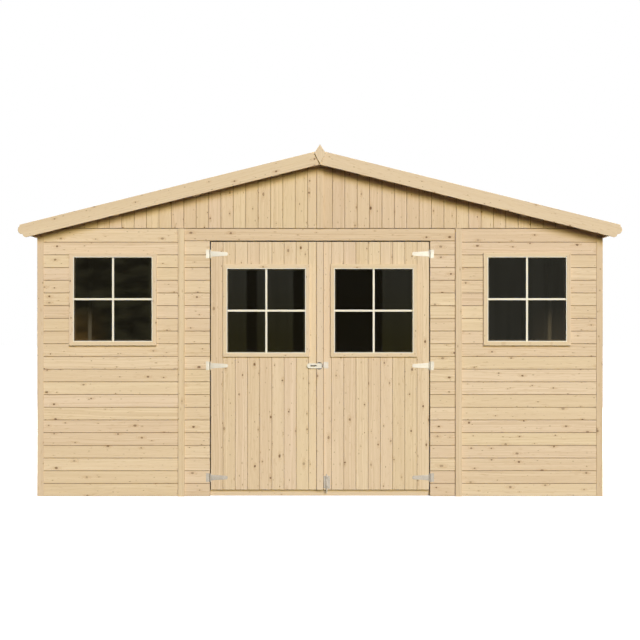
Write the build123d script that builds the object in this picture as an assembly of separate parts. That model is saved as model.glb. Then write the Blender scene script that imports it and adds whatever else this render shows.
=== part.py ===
from build123d import *
import math
import os

# Wooden garden shed of tongue-and-groove panels with a pair of glazed doors in its gable end.
# Millimetres. +X right, +Y to the back, +Z up; the doors face -Y.
# The origin is on the ground under the middle of the shed.

# ---- driving dimensions -------------------------------------------------------------------
# overall
wall_half_width = 1974.0      # middle of the shed to the outer face of a side wall's boards
wall_half_depth = 1100.0      # middle of the shed to the outer face of the front boards
wall_height = 1885.0          # height of every wall panel
roof_pitch = 13.9             # slope of both roof halves, degrees
eaves_step = 25.5             # wall top to the roof boards' underside, at a side wall's face
overhang = 120.0              # front face to the back of the bargeboards
eaves_reach = 30.0            # side wall face to the eaves board

# timber sections
board = 16.0                  # thickness of wall, roof, floor and trim boards
batten_depth = 28.0           # framing, across the wall
batten_width = 45.0           # framing, along the wall
strip_width = 45.0            # cover strips over the panel joints
corner_face = 5.0             # thickness of a corner strip on the front and on the back
purlin_width = 45.0
purlin_height = 70.0
trim_board = 95.0             # width of bargeboards and eaves boards
felt = 2.0                    # roofing felt
seat = 0.5                    # play round a part let into a notch
glass_play = 0.3              # play round a pane
past = 1.0                    # how far a cut runs past the faces it opens

# panels, doorway and doors
panel_joint = 975.0           # middle of a cover strip beside the doorway
doorway_half = 775.5          # half the clear width between the narrow panels
header_width = 87.0           # board over the doors
sill_height = 41.5
sill_setback = 40.0           # front face of the wall to the sill
hinge_gap = 6.5               # between a narrow panel and a door
head_gap = 7.0                # over the doors
foot_gap = 5.5                # under the doors
meeting_edge = 19.0           # right edge of the left door
meeting_gap = 5.0             # between the two doors
frame_inset = 10.0            # a door's battens, in from the edge of its boards
meeting_lap = 3.0             # bare edge of the left door beside its meeting strip
sill_play = 1.0               # between the sill and the bearers behind it

# windows: pane sizes, and how far the frame laps round the pane
pane_width = 547.0
lining = 12.0                 # thickness of the lining boards round a pane
pane_thickness = 4.0
pane_setback = 6.0            # wall face to the front of the pane
wall_window_in = 482.0        # cover strip's middle to the middle of a wall window
wall_glass_drop = 204.0       # wall top to a wall window's pane
wall_trim_side = 34.0
wall_trim_foot = 32.5
wall_trim_head = 30.0
door_window_in = 391.0        # hinge edge of a door to the middle of its window
door_glass_drop = 191.0       # door top to its pane
door_glass_lift = 94.0        # middle height of a door to the foot of its pane
door_trim_side = 31.0
door_trim_foot = 31.5
door_trim_head = 34.0

# roof
purlin_first = 335.0          # ridge to the first purlin's middle, down the slope
purlin_count = 3              # on each slope, besides the ridge purlin
ridge_play = 3.2              # ridge line to the low inner edge of a ridge purlin
trim_upstand = 3.0            # bargeboard above the felt
verge_tail = 67.0             # bargeboard's square end beyond the eaves board, down the slope
scallop_start = 9.0           # bargeboard's top edge to its large scallop
scallop_bulge = 20.0          # how far that scallop swells past the board's end
scallop_middle = 40.0         # top edge to the middle of the large scallop
cusp_in = 7.0                 # the point between the scallops, in from the end
cusp_down = 70.0
lobe_in = 12.0                # the small scallop's middle, in from the end
lobe_down = 88.0
lobe_end = 32.0               # where it meets the lower edge, in from the end
finial_half = 40.0
finial_rise = 62.0            # tip above its widest point
finial_drop = 73.0
felt_drip = 30.0              # felt turned down over the eaves board

# floor
bearer_count = 7

# hinges, hasp and bolt
hinge_inset = 85.0            # end of a door to the middle of its hinge
pin_radius = 3.0
pin_play = 0.1
knuckle_radius = 5.5
knuckle_room = 1.5            # hollow in the plate round the middle knuckle
plate = 2.0                   # thickness of the ironwork
plate_width = 27.0
plate_height = 60.0
middle_knuckle = 22.0
knuckle_play = 0.6            # between knuckles, along the pin
strap_length = 118.0
strap_inset = 2.0             # door's edge to the strap's wide end
strap_root = 42.0
strap_tip = 18.0
hasp_width = 40.0
hasp_length = 103.0
hasp_thickness = 3.0
hasp_edge = 8.0               # meeting edge to the hasp's hinge
slot_inset = 25.0             # hasp's round end to its slot
slot_length = 44.0
slot_width = 9.0
staple_base_lap = 14.0        # staple's base past the slot's round end
staple_base_gap = 4.0         # slot's square end to the staple's base
staple_base_height = 32.0
staple_inset = 6.0            # slot's round end to the staple
staple_gap = 10.0             # slot's square end to the staple
staple_rise = 14.0            # staple's top above the strip
staple_thickness = 6.0
eye_radius = 4.0              # hole for the padlock
keeper_width = 34.0
keeper_height = 45.0
keeper_inset = 1.0
keeper_lift = 4.0             # middle of the keeper above the middle of the hasp
keeper_round = 5.0
bolt_plate_width = 44.0
bolt_plate_foot = 54.0
bolt_plate_height = 90.0
bolt_radius = 5.0
bolt_foot = 6.0               # tip of the bolt above the ground
bolt_length = 150.0
bolt_edge = 24.0              # edge of the right door to the bolt
bolt_plate_round = 4.0
guide_height = 14.0
guide_margin = 6.0            # end of the bolt's plate to a guide
knob_radius = 4.0
knob_length = 12.0
knob_gap = 6.0                # lower guide to the bolt's knob

# ---- places worked out from them ----------------------------------------------------------
slope = math.radians(roof_pitch)
fall = math.tan(slope)
thickness_up = 1.0 / math.cos(slope)   # a sloping board's thickness measured upright

deck_apex = wall_height + eaves_step + fall * wall_half_width
eaves_x = wall_half_width + eaves_reach
slope_length = eaves_x / math.cos(slope)
ridge_purlin = purlin_height * math.sin(slope) + ridge_play
purlin_pitch = (slope_length - purlin_first) / purlin_count
bargeboard_reach = (eaves_x + board) / math.cos(slope) + verge_tail

front = -wall_half_depth
boards_back = front + board
frame_back = boards_back + batten_depth
trim_face = front - board
frame_half_x = wall_half_width - board
frame_inner_x = frame_half_x - batten_depth
inner_y = wall_half_depth - board - batten_depth
gable_reach = wall_half_depth + overhang

doorway_head = wall_height - header_width
leaf_edge = doorway_half - hinge_gap
leaf_foot = sill_height + foot_gap
leaf_head = doorway_head - head_gap
right_edge = meeting_edge + meeting_gap
pin_x = doorway_half - hinge_gap / 2
pin_y = front - knuckle_radius
leaf_middle = (leaf_foot + leaf_head) / 2
hinge_heights = (leaf_foot + hinge_inset, leaf_middle, leaf_head - hinge_inset)
bolt_x = right_edge + bolt_edge
bolt_y = front - plate - bolt_radius - plate

pane_height = leaf_head - door_glass_drop - leaf_middle - door_glass_lift
wall_window_x = panel_joint + wall_window_in
wall_window_z = wall_height - wall_glass_drop - pane_height / 2
door_window_x = leaf_edge - door_window_in
door_window_z = leaf_head - door_glass_drop - pane_height / 2


# ---- helpers ------------------------------------------------------------------------------
def block(x, y, z):
    """A board or batten between two values of each of X, Y and Z."""
    size = [max(pair) - min(pair) for pair in (x, y, z)]
    middle = [sum(pair) / 2 for pair in (x, y, z)]
    return Pos(*middle) * Box(*size)


def upright(outline, y):
    """A slab with an outline of (x, z) points, between two values of Y."""
    face = make_face(Polyline(*outline, close=True))
    return extrude(Plane.XZ.offset(-max(y)) * face, max(y) - min(y))


def mirrored(shape):
    """The same piece on the other side of the middle."""
    return mirror(shape, about=Plane.YZ)


def at_back(shape):
    """The same piece on the back of the shed."""
    return mirror(shape, about=Plane.XZ)


def fuse(pieces):
    """One solid from battens that are joined."""
    whole = pieces[0]
    for piece in pieces[1:]:
        whole = whole + piece
    return whole


def deck_underside(x):
    """Height of the roof boards' underside at a distance from the middle."""
    return deck_apex - fall * abs(x)


def down_slope(along, below):
    """(x, z) of a point this far down the right-hand slope and this far below its boards."""
    x = along * math.cos(slope) - below * math.sin(slope)
    z = deck_apex - along * math.sin(slope) - below * math.cos(slope)
    return x, z


def slope_bar(start, end, top, bottom, y):
    """A bar lying in the right-hand roof slope: start to end down it, top to bottom below it."""
    corners = [(start, top), (end, top), (end, bottom), (start, bottom)]
    return upright([down_slope(*corner) for corner in corners], y)


def window_hole(x, z, y):
    """The hole cut for a window's lining, right through the boards."""
    half = pane_width / 2 + lining
    rise = pane_height / 2 + lining
    return block((x - half, x + half), y, (z - rise, z + rise))


# ---- floor --------------------------------------------------------------------------------
def floor_bearers():
    length = (front + sill_setback + batten_depth + sill_play, inner_y)
    run = frame_inner_x - batten_width / 2
    step = 2 * run / (bearer_count - 1)
    height = (0, sill_height - board)
    return [block((-run + i * step - batten_width / 2, -run + i * step + batten_width / 2),
                  length, height) for i in range(bearer_count)]


def floor_deck():
    boards = block((-frame_inner_x, frame_inner_x), (frame_back, inner_y),
                   (sill_height - board, sill_height))
    notch = block((-doorway_half - seat, doorway_half + seat),
                  (frame_back - past, front + sill_setback + batten_depth + seat),
                  (0, sill_height + past))
    return boards - notch


def door_sill():
    face = front + sill_setback
    return block((-doorway_half, doorway_half), (face, face + batten_depth), (0, sill_height))


# ---- walls --------------------------------------------------------------------------------
def front_panel():
    boards = block((panel_joint, wall_half_width), (front, boards_back), (0, wall_height))
    cut = (front - past, boards_back + past)
    return boards - window_hole(wall_window_x, wall_window_z, cut)


def front_infill():
    return block((doorway_half, panel_joint), (front, boards_back), (0, doorway_head))


def door_header():
    return block((-panel_joint, panel_joint), (front, boards_back), (doorway_head, wall_height))


def front_frame():
    """Battens behind a window panel: posts, top and bottom rails, and rails round the window."""
    y = (boards_back, frame_back)
    rise = pane_height / 2 + lining
    outer = (frame_half_x - batten_width, frame_half_x)
    inner = (panel_joint, panel_joint + batten_width)
    span = (inner[0], outer[1])
    lower = wall_window_z - rise
    upper = wall_window_z + rise
    rails = [(0, batten_width), (lower - batten_width, lower), (upper, upper + batten_width),
             (wall_height - batten_width, wall_height)]
    stud = (wall_window_x - batten_width / 2, wall_window_x + batten_width / 2)
    pieces = [block(outer, y, (0, wall_height)), block(inner, y, (0, wall_height)),
              block(stud, y, (0, lower))]
    return fuse(pieces + [block(span, y, rail) for rail in rails])


def door_frame():
    """Battens of the doorway: a pair of posts on each side, tied at top and bottom."""
    y = (boards_back, frame_back)
    top = (wall_height - batten_width, wall_height)
    pieces = [block((-panel_joint, panel_joint), y, top)]
    for side in (-1, 1):
        jamb = (side * doorway_half, side * (doorway_half + batten_width))
        edge = (side * (panel_joint - batten_width), side * panel_joint)
        pieces += [block(jamb, y, (0, wall_height)), block(edge, y, (0, wall_height)),
                   block((jamb[0], edge[1]), y, (0, batten_width))]
    return fuse(pieces)


def side_wall():
    return block((frame_half_x, wall_half_width), (boards_back, -boards_back), (0, wall_height))


def side_frame():
    """Battens of a side wall: corner posts, two posts at the joint, three rails."""
    x = (frame_inner_x, frame_half_x)
    middle = wall_height / 2
    rails = [(0, batten_width), (middle - batten_width / 2, middle + batten_width / 2),
             (wall_height - batten_width, wall_height)]
    posts = [(frame_back, frame_back + batten_width), (-batten_width, batten_width),
             (inner_y - batten_width, inner_y)]
    pieces = [block(x, post, (0, wall_height)) for post in posts]
    return fuse(pieces + [block(x, (frame_back, inner_y), rail) for rail in rails])


def back_wall():
    y = (wall_half_depth - board, wall_half_depth)
    return block((-wall_half_width, wall_half_width), y, (0, wall_height))


def back_frame():
    y = (inner_y, wall_half_depth - board)
    middle = wall_height / 2
    rails = [(0, batten_width), (middle - batten_width / 2, middle + batten_width / 2),
             (wall_height - batten_width, wall_height)]
    posts = [(-batten_width, batten_width)]
    for side in (-1, 1):
        posts += [(side * (frame_half_x - batten_width), side * frame_half_x),
                  (side * (panel_joint - batten_width), side * (panel_joint + batten_width))]
    pieces = [block(post, y, (0, wall_height)) for post in posts]
    return fuse(pieces + [block((-frame_half_x, frame_half_x), y, rail) for rail in rails])


# ---- gables -------------------------------------------------------------------------------
def purlin_spans():
    """Start and end of each purlin on one slope, measured down it from the ridge."""
    spans = [(ridge_purlin, ridge_purlin + purlin_width)]
    for i in range(purlin_count):
        middle = purlin_first + i * purlin_pitch
        spans.append((middle - purlin_width / 2, middle + purlin_width / 2))
    return spans


def gable_half():
    """Gable boards on one side, notched round the purlins."""
    y = (front, boards_back)
    outline = [(seat, wall_height), (wall_half_width, wall_height),
               (wall_half_width, deck_underside(wall_half_width)), (seat, deck_underside(seat))]
    boards = upright(outline, y)
    for start, end in purlin_spans():
        boards -= slope_bar(start - seat, end + seat, -past, purlin_height + seat,
                            (y[0] - past, y[1] + past))
    return boards


def gable_frame():
    """Bottom rail, king post and two rafters that carry the purlins."""
    y = (boards_back, frame_back)
    low = purlin_height + seat
    deep = low + batten_width
    chord_top = wall_height + batten_width
    chord_end = (deck_apex - chord_top) / fall
    chord = [(-frame_inner_x, wall_height), (frame_inner_x, wall_height),
             (frame_inner_x, deck_underside(frame_inner_x)), (chord_end, chord_top),
             (-chord_end, chord_top), (-frame_inner_x, deck_underside(frame_inner_x))]
    post_top = deck_apex - deep * thickness_up
    half = batten_width / 2
    rafter = slope_bar(-low, (deck_apex - wall_height) / math.sin(slope), low, deep, y)
    rafter = rafter & block((0, frame_inner_x), y, (wall_height, deck_apex))
    return fuse([upright(chord, y), block((-half, half), y, (wall_height, post_top)),
                 rafter, mirrored(rafter)])


# ---- strips -------------------------------------------------------------------------------
def corner_strip():
    """Two strips that meet over the front right corner."""
    outer = wall_half_width + board
    face_y = front - corner_face
    face = block((outer - strip_width, outer), (face_y, front), (0, wall_height))
    side = block((wall_half_width, outer), (face_y, front + strip_width), (0, wall_height))
    return face + side


def corner_strips():
    right = corner_strip()
    left = mirrored(right)
    return [right, left, at_back(right), at_back(left)]


def strip_at(x, y, top):
    return block((x - strip_width / 2, x + strip_width / 2), y, (0, top))


def cover_strips():
    """Strips over the panel joints: two in front, one on each side, three at the back."""
    front_y = (trim_face, front)
    back_y = (wall_half_depth, wall_half_depth + board)
    half = strip_width / 2
    side = block((wall_half_width, wall_half_width + board), (-half, half), (0, wall_height))
    strips = [strip_at(x, front_y, wall_height) for x in (-panel_joint, panel_joint)]
    strips += [strip_at(x, back_y, wall_height) for x in (-panel_joint, 0, panel_joint)]
    return strips + [side, mirrored(side)]


def gable_strips():
    """A strip over the middle joint of each gable, up to the ridge purlins."""
    half = strip_width / 2
    top = deck_apex - (purlin_height + seat) * thickness_up - half * fall
    strip = block((-half, half), (trim_face, front), (wall_height, top))
    return [strip, at_back(strip)]


# ---- windows ------------------------------------------------------------------------------
def window_frame(x, z, side, foot, head):
    """Lining boards in the hole and a flat trim on the face of the wall."""
    half = pane_width / 2
    rise = pane_height / 2
    trim = block((x - half - side, x + half + side), (trim_face, front),
                 (z - rise - foot, z + rise + head))
    back = boards_back + batten_depth
    body = trim + window_hole(x, z, (front, back))
    inside = block((x - half, x + half), (trim_face - past, back + past), (z - rise, z + rise))
    return body - inside


def pane(x, z):
    half = pane_width / 2 - glass_play
    rise = pane_height / 2 - glass_play
    face = front + pane_setback
    return block((x - half, x + half), (face, face + pane_thickness), (z - rise, z + rise))


def wall_window():
    return window_frame(wall_window_x, wall_window_z, wall_trim_side, wall_trim_foot,
                        wall_trim_head)


# ---- roof ---------------------------------------------------------------------------------
def roof_deck():
    rise = board * thickness_up
    outline = [(0, deck_apex), (eaves_x, deck_underside(eaves_x)),
               (eaves_x, deck_underside(eaves_x) + rise), (0, deck_apex + rise)]
    return upright(outline, (-gable_reach, gable_reach))


def felt_half():
    """Felt on one slope, turned down over the eaves board."""
    low = board * thickness_up
    high = low + felt * thickness_up
    edge = eaves_x + board
    outline = [(seat, deck_underside(seat) + low), (edge, deck_underside(edge) + low),
               (edge, deck_underside(edge) + low - felt_drip),
               (edge + felt, deck_underside(edge) + low - felt_drip),
               (edge + felt, deck_underside(edge + felt) + high),
               (seat, deck_underside(seat) + high)]
    return upright(outline, (-gable_reach, gable_reach))


def purlins():
    bars = []
    for start, end in purlin_spans():
        bar = slope_bar(start, end, 0.0, purlin_height, (-gable_reach, gable_reach))
        bars += [bar, mirrored(bar)]
    return bars


def eaves_plate():
    """Bevelled batten that carries the roof boards along the top of a side wall."""
    outline = [(frame_inner_x, wall_height), (wall_half_width, wall_height),
               (wall_half_width, deck_underside(wall_half_width)),
               (frame_inner_x, deck_underside(frame_inner_x))]
    return upright(outline, (boards_back, -boards_back))


def eaves_fascia():
    """Board along the eaves, flush with the top of the roof boards."""
    rise = board * thickness_up
    top = [deck_underside(x) + rise for x in (eaves_x, eaves_x + board)]
    foot = top[0] - trim_board
    outline = [(eaves_x, foot), (eaves_x + board, foot), (eaves_x + board, top[1]),
               (eaves_x, top[0])]
    return upright(outline, (-gable_reach, gable_reach))


def bargeboard():
    """Board under the verge, with a large and a small scallop cut at its foot."""
    top = -(board + felt + trim_upstand)
    end = bargeboard_reach

    def point(along, below):
        return down_slope(along, top + below)

    ridge_top = (seat, down_slope(0, 0)[1] - top * thickness_up - seat * fall)
    ridge_low = (seat, ridge_top[1] - trim_board * thickness_up)
    shoulder = point(end, scallop_start)
    cusp = point(end - cusp_in, cusp_down)
    lobe_foot = point(end - lobe_end, trim_board)
    nose = ThreePointArc(shoulder, point(end + scallop_bulge, scallop_middle), cusp)
    lobe = ThreePointArc(cusp, point(end - lobe_in, lobe_down), lobe_foot)
    edges = [Line(ridge_low, ridge_top), Line(ridge_top, point(end, 0)),
             Line(point(end, 0), shoulder), nose, lobe, Line(lobe_foot, ridge_low)]
    face = make_face(Wire(edges))
    return extrude(Plane.XZ.offset(gable_reach) * face, board)


def finial():
    """Kite-shaped board over the mitre of a pair of bargeboards."""
    middle = deck_apex + finial_drop - purlin_height * thickness_up
    outline = [(0, middle + finial_rise), (finial_half, middle), (0, middle - finial_drop),
               (-finial_half, middle)]
    return upright(outline, (-gable_reach - 2 * board, -gable_reach - board))


# ---- hinges -------------------------------------------------------------------------------
def knuckle(z, radius):
    """A round standing on the left-hand pin line between two heights."""
    middle = (z[0] + z[1]) / 2
    return Pos(-pin_x, pin_y, middle) * Cylinder(radius, z[1] - z[0])


def hinge_plate(height):
    """Left-hand T-hinge: the upright plate, its two outer knuckles and the pin."""
    low = height - plate_height / 2
    high = height + plate_height / 2
    gap = middle_knuckle / 2 + knuckle_play
    sheet = block((-doorway_half - plate_width, -pin_x), (front - plate, front), (low, high))
    hollow = knuckle((height - gap, height + gap), knuckle_radius + knuckle_room)
    tab = block((-doorway_half, -pin_x + past), (front - plate - past, front + past),
                (height - gap, height + gap))
    body = sheet - hollow - tab
    for span in ((low, height - gap), (height + gap, high)):
        body += knuckle(span, knuckle_radius)
    return body + knuckle((low, high), pin_radius)


def hinge_strap(height):
    """Left-hand T-hinge: the tapered strap and the middle knuckle, bored for the pin."""
    half = middle_knuckle / 2
    root = -leaf_edge + strap_inset
    end = root + strap_length - strap_tip / 2
    sheet = [(root, height - strap_root / 2), (end, height - strap_tip / 2),
             (end, height + strap_tip / 2), (root, height + strap_root / 2)]
    y = (front - plate, front)
    nose = Pos(end, front - plate / 2, height) * Rot(90, 0, 0) * Cylinder(strap_tip / 2, plate)
    tab = block((-pin_x, root + past), y, (height - half, height + half))
    body = upright(sheet, y) + nose + tab
    body += knuckle((height - half, height + half), knuckle_radius)
    return body - knuckle((height - half - past, height + half + past), pin_radius + pin_play)


# ---- doors --------------------------------------------------------------------------------
def door_boards(x):
    """A door's upright boards, between its two edges, with the window hole."""
    boards = block(x, (front, boards_back), (leaf_foot, leaf_head))
    side = math.copysign(door_window_x, x[0] + x[1])
    return boards - window_hole(side, door_window_z, (front - past, boards_back + past))


def door_battens(x, hinge_side):
    """A door's frame: stiles, four rails and a brace that rises from the hinge side."""
    y = (boards_back, frame_back)
    low = leaf_foot + frame_inset
    high = leaf_head - frame_inset
    left = min(x) + frame_inset
    right = max(x) - frame_inset
    rise = pane_height / 2 + lining
    under = door_window_z - rise
    over = door_window_z + rise
    stiles = [(left, left + batten_width), (right - batten_width, right)]
    rails = [(low, low + batten_width), (under - batten_width, under),
             (over, over + batten_width), (high - batten_width, high)]
    field = (low + batten_width, under - batten_width)
    start, stop = (left, right) if hinge_side < 0 else (right, left)
    inward = math.copysign(batten_width, stop - start)
    brace = upright([(start + inward, field[0]), (start + 2 * inward, field[0]),
                     (stop - inward, field[1]), (stop - 2 * inward, field[1])], y)
    pieces = [block(stile, y, (low, high)) for stile in stiles]
    return fuse(pieces + [block((left, right), y, rail) for rail in rails] + [brace])


def door_window(side):
    return window_frame(side * door_window_x, door_window_z, door_trim_side, door_trim_foot,
                        door_trim_head)


def meeting_strip():
    """Strip down the edge of the left door that closes the joint between the doors."""
    return block((meeting_edge - strip_width + meeting_lap, meeting_edge), (trim_face, front),
                 (leaf_foot, leaf_head))


# ---- hasp and bolt ------------------------------------------------------------------------
def hasp():
    """Slotted hasp that lies on the meeting strip, and the staple that stands in its slot."""
    z = leaf_middle
    right = meeting_edge - hasp_edge
    left = right - hasp_length
    end = hasp_width / 2
    y = (trim_face - hasp_thickness, trim_face)
    sheet = block((left + end, right), y, (z - end, z + end))
    sheet += Pos(left + end, sum(y) / 2, z) * Rot(90, 0, 0) * Cylinder(end, hasp_thickness)
    roll = Pos(right, trim_face - hasp_thickness, z) * Cylinder(hasp_thickness, hasp_width)
    slot_x = left + slot_inset
    slot_end = slot_x + slot_length
    slot = block((slot_x, slot_end), (y[0] - past, y[1] + past),
                 (z - slot_width / 2, z + slot_width / 2))
    base = block((slot_x - staple_base_lap, slot_end - staple_base_gap), (front - plate, front),
                 (z - staple_base_height / 2, z + staple_base_height / 2))
    staple_x = (slot_x + staple_inset, slot_end - staple_gap)
    staple = block(staple_x, (trim_face - staple_rise, front - plate),
                   (z - staple_thickness / 2, z + staple_thickness / 2))
    eye = (Pos(sum(staple_x) / 2, trim_face - staple_rise / 2, z)
           * Cylinder(eye_radius, staple_thickness + 2 * past))
    return [(sheet + roll) - slot, (base + staple) - eye]


def hasp_keeper():
    """The hasp's screwed plate on the right door."""
    x = (right_edge + keeper_inset, right_edge + keeper_inset + keeper_width)
    middle = leaf_middle + keeper_lift
    sheet = block(x, (front - plate, front),
                  (middle - keeper_height / 2, middle + keeper_height / 2))
    return fillet(sheet.edges().filter_by(Axis.Y), keeper_round)


def bolt_plate():
    """Back plate and two guides of the floor bolt."""
    z = (bolt_plate_foot, bolt_plate_foot + bolt_plate_height)
    half = bolt_plate_width / 2
    sheet = block((bolt_x - half, bolt_x + half), (front - plate, front), z)
    body = fillet(sheet.edges().filter_by(Axis.Y), bolt_plate_round)
    for low in (z[0] + guide_margin, z[1] - guide_margin - guide_height):
        guide = (low, low + guide_height)
        outer = bolt_radius + pin_play + plate
        body += block((bolt_x - outer, bolt_x + outer), (bolt_y, front - plate), guide)
        body += Pos(bolt_x, bolt_y, sum(guide) / 2) * Cylinder(outer, guide_height)
    bore = Pos(bolt_x, bolt_y, sum(z) / 2) * Cylinder(bolt_radius + pin_play,
                                                        bolt_plate_height)
    return body - bore


def bolt_rod():
    """The sliding bolt with its knob between the guides."""
    rod = Pos(bolt_x, bolt_y, bolt_foot + bolt_length / 2) * Cylinder(bolt_radius, bolt_length)
    knob_z = bolt_plate_foot + guide_margin + guide_height + knob_gap + knob_radius
    knob_y = bolt_y - bolt_radius - knob_radius
    knob = Pos(bolt_x, knob_y, knob_z) * Rot(90, 0, 0) * Cylinder(knob_radius, knob_length)
    return rod + knob


# ---- the nodes ----------------------------------------------------------------------------
def build():
    """Every sub-part by its name."""
    left_x = (-leaf_edge, meeting_edge)
    right_x = (right_edge, leaf_edge)
    plates = [hinge_plate(height) for height in hinge_heights]
    straps = [hinge_strap(height) for height in hinge_heights]
    half_gable = gable_half()
    verge = bargeboard()
    frame = gable_frame()
    nodes = {
        "floor_bearers": floor_bearers(),
        "floor_deck": floor_deck(),
        "door_sill": door_sill(),
        "front_panel_left": mirrored(front_panel()),
        "front_panel_right": front_panel(),
        "front_infills": [front_infill(), mirrored(front_infill())],
        "door_header": door_header(),
        "front_frames": [front_frame(), mirrored(front_frame())],
        "door_frame": door_frame(),
        "side_wall_left": mirrored(side_wall()),
        "side_wall_right": side_wall(),
        "side_frames": [side_frame(), mirrored(side_frame())],
        "back_wall": back_wall(),
        "back_frame": back_frame(),
        "gable_front": [half_gable, mirrored(half_gable)],
        "gable_back": [at_back(half_gable), at_back(mirrored(half_gable))],
        "gable_frames": [frame, at_back(frame)],
        "corner_strips": corner_strips(),
        "cover_strips": cover_strips(),
        "gable_strips": gable_strips(),
        "window_frame_left": mirrored(wall_window()),
        "window_frame_right": wall_window(),
        "window_glass": [pane(-wall_window_x, wall_window_z), pane(wall_window_x, wall_window_z)],
        "roof_deck_left": mirrored(roof_deck()),
        "roof_deck_right": roof_deck(),
        "roof_felt": [felt_half(), mirrored(felt_half())],
        "purlins": purlins(),
        "eaves_plates": [eaves_plate(), mirrored(eaves_plate())],
        "eaves_fascias": [eaves_fascia(), mirrored(eaves_fascia())],
        "bargeboards_front": [verge, mirrored(verge)],
        "bargeboards_back": [at_back(verge), at_back(mirrored(verge))],
        "finials": [finial(), at_back(finial())],
        "hinge_plates": plates + [mirrored(piece) for piece in plates],
        "left_door_boards": door_boards(left_x),
        "left_door_frame": door_battens(left_x, -1),
        "left_door_window": door_window(-1),
        "left_door_glass": pane(-door_window_x, door_window_z),
        "left_door_straps": straps,
        "meeting_strip": meeting_strip(),
        "hasp": hasp(),
        "right_door_boards": door_boards(right_x),
        "right_door_frame": door_battens(right_x, 1),
        "right_door_window": door_window(1),
        "right_door_glass": pane(door_window_x, door_window_z),
        "right_door_straps": [mirrored(piece) for piece in straps],
        "hasp_keeper": hasp_keeper(),
        "bolt_plate": bolt_plate(),
        "bolt_rod": bolt_rod(),
    }
    return nodes


def main():
    os.makedirs("parts", exist_ok=True)
    for name, pieces in build().items():
        shape = Compound(children=pieces) if isinstance(pieces, list) else pieces
        export_step(shape, "parts/" + name + ".step")
        print(name, "written")


main()
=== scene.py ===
# %% [markdown]
# # A wooden garden shed
# The CAD frame already holds every wall, door and roof part as a plain slab at its true size.
# This script gives the shed what a person sees: separate tongue-and-groove boards with their
# joints, battens cut and butted one by one, mitred window trims, screws, felt, and pine that
# has rings, streaks and knots. Everything is in metres: +X right, +Y to the back, +Z up.

# %% Load the frame
import math
import random

import bmesh
import bpy
import numpy as np
from mathutils import Matrix, Vector


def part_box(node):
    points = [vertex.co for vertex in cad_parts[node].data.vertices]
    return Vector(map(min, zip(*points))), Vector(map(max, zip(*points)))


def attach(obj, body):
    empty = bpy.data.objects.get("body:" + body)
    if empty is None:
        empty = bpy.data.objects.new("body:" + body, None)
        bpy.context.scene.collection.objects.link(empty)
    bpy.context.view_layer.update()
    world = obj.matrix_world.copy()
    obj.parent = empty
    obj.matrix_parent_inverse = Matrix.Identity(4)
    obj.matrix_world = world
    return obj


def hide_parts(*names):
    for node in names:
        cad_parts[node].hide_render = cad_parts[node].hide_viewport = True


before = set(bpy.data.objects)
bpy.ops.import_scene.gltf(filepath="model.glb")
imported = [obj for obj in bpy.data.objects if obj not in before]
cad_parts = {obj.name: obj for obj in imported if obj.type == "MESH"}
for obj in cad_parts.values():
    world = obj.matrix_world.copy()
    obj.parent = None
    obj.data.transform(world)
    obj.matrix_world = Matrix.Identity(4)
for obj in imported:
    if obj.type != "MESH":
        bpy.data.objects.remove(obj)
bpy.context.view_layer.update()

random.seed(11)
scene = bpy.context.scene
scene.view_settings.view_transform = "Standard"
X, Y, Z = Vector((1, 0, 0)), Vector((0, 1, 0)), Vector((0, 0, 1))
print("CAD nodes:", len(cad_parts))

# %% [markdown]
# ## Camera
# The shed is seen square on from a little over eleven metres, at a person's chest height,
# with a long lens. A level camera with no tilt keeps the corner posts upright and parallel.

# %% Camera
camera_data = bpy.data.cameras.new("camera")
camera_data.lens = 85.5
camera = bpy.data.objects.new("camera", camera_data)
camera.location = (0.0, -11.8, 1.241)
camera.rotation_euler = (math.radians(90), 0, 0)
scene.collection.objects.link(camera)
scene.camera = camera
print("camera", round(-camera.location.y - 1.1, 2), "m from the wall")

# %% [markdown]
# ## Light
# A broad soft light comes from the front, low and from the right, and throws the roof's shadow
# on the gable. It is a sun lamp with a wide disc: its light is as strong at one end of the
# shed as at the other, which a lamp a few metres away can't do, and the width of the disc
# softens the shadow's edge. Four weaker lamps stand behind the plane of the front wall, so
# they light the sides, the back and the roof and leave the front shadow alone.

# %% Lamps
def soft_lamp(name, place, aim, width, height, watts):
    """A rectangular lamp that faces a point, unseen by the camera."""
    data = bpy.data.lights.new(name, "AREA")
    data.shape = "RECTANGLE"
    data.size = width
    data.size_y = height
    data.energy = watts
    lamp = bpy.data.objects.new(name, data)
    lamp.location = place
    facing = Vector(aim) - Vector(place)
    lamp.rotation_euler = facing.to_track_quat("-Z", "Y").to_euler()
    lamp.visible_camera = False
    scene.collection.objects.link(lamp)


key_level = 3.55
key_disc = 20
for name, height, share in (("key_low", 12.8, (0.70, 0.62, 0.30)),
                            ("key_high", 21.0, (0.305, 0.39, 0.73))):
    data = bpy.data.lights.new(name, "SUN")
    data.energy = key_level * max(share)
    data.color = [part / max(share) for part in share]
    data.angle = math.radians(key_disc)
    key = bpy.data.objects.new(name, data)
    key.rotation_euler = (math.radians(90 - height), 0, math.radians(13))
    scene.collection.objects.link(key)
soft_lamp("right_lamp", (8.0, 1.2, 3.2), (1.9, 0, 1.2), 4.0, 3.0, 490)
soft_lamp("left_lamp", (-8.0, 1.2, 3.2), (-1.9, 0, 1.2), 4.0, 3.0, 490)
soft_lamp("back_lamp", (1.5, 9.5, 3.8), (0, 1.1, 1.2), 5.0, 3.0, 980)
soft_lamp("roof_lamp", (0, 0.6, 8.5), (0, 0.2, 2.2), 5.0, 3.0, 500)

# %% [markdown]
# ## Node helpers
# A material is a small network. Two helpers keep the recipes short: one adds a node with its
# settings and inputs, the other does one sum. An input is either a number or the socket that
# feeds it.

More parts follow.
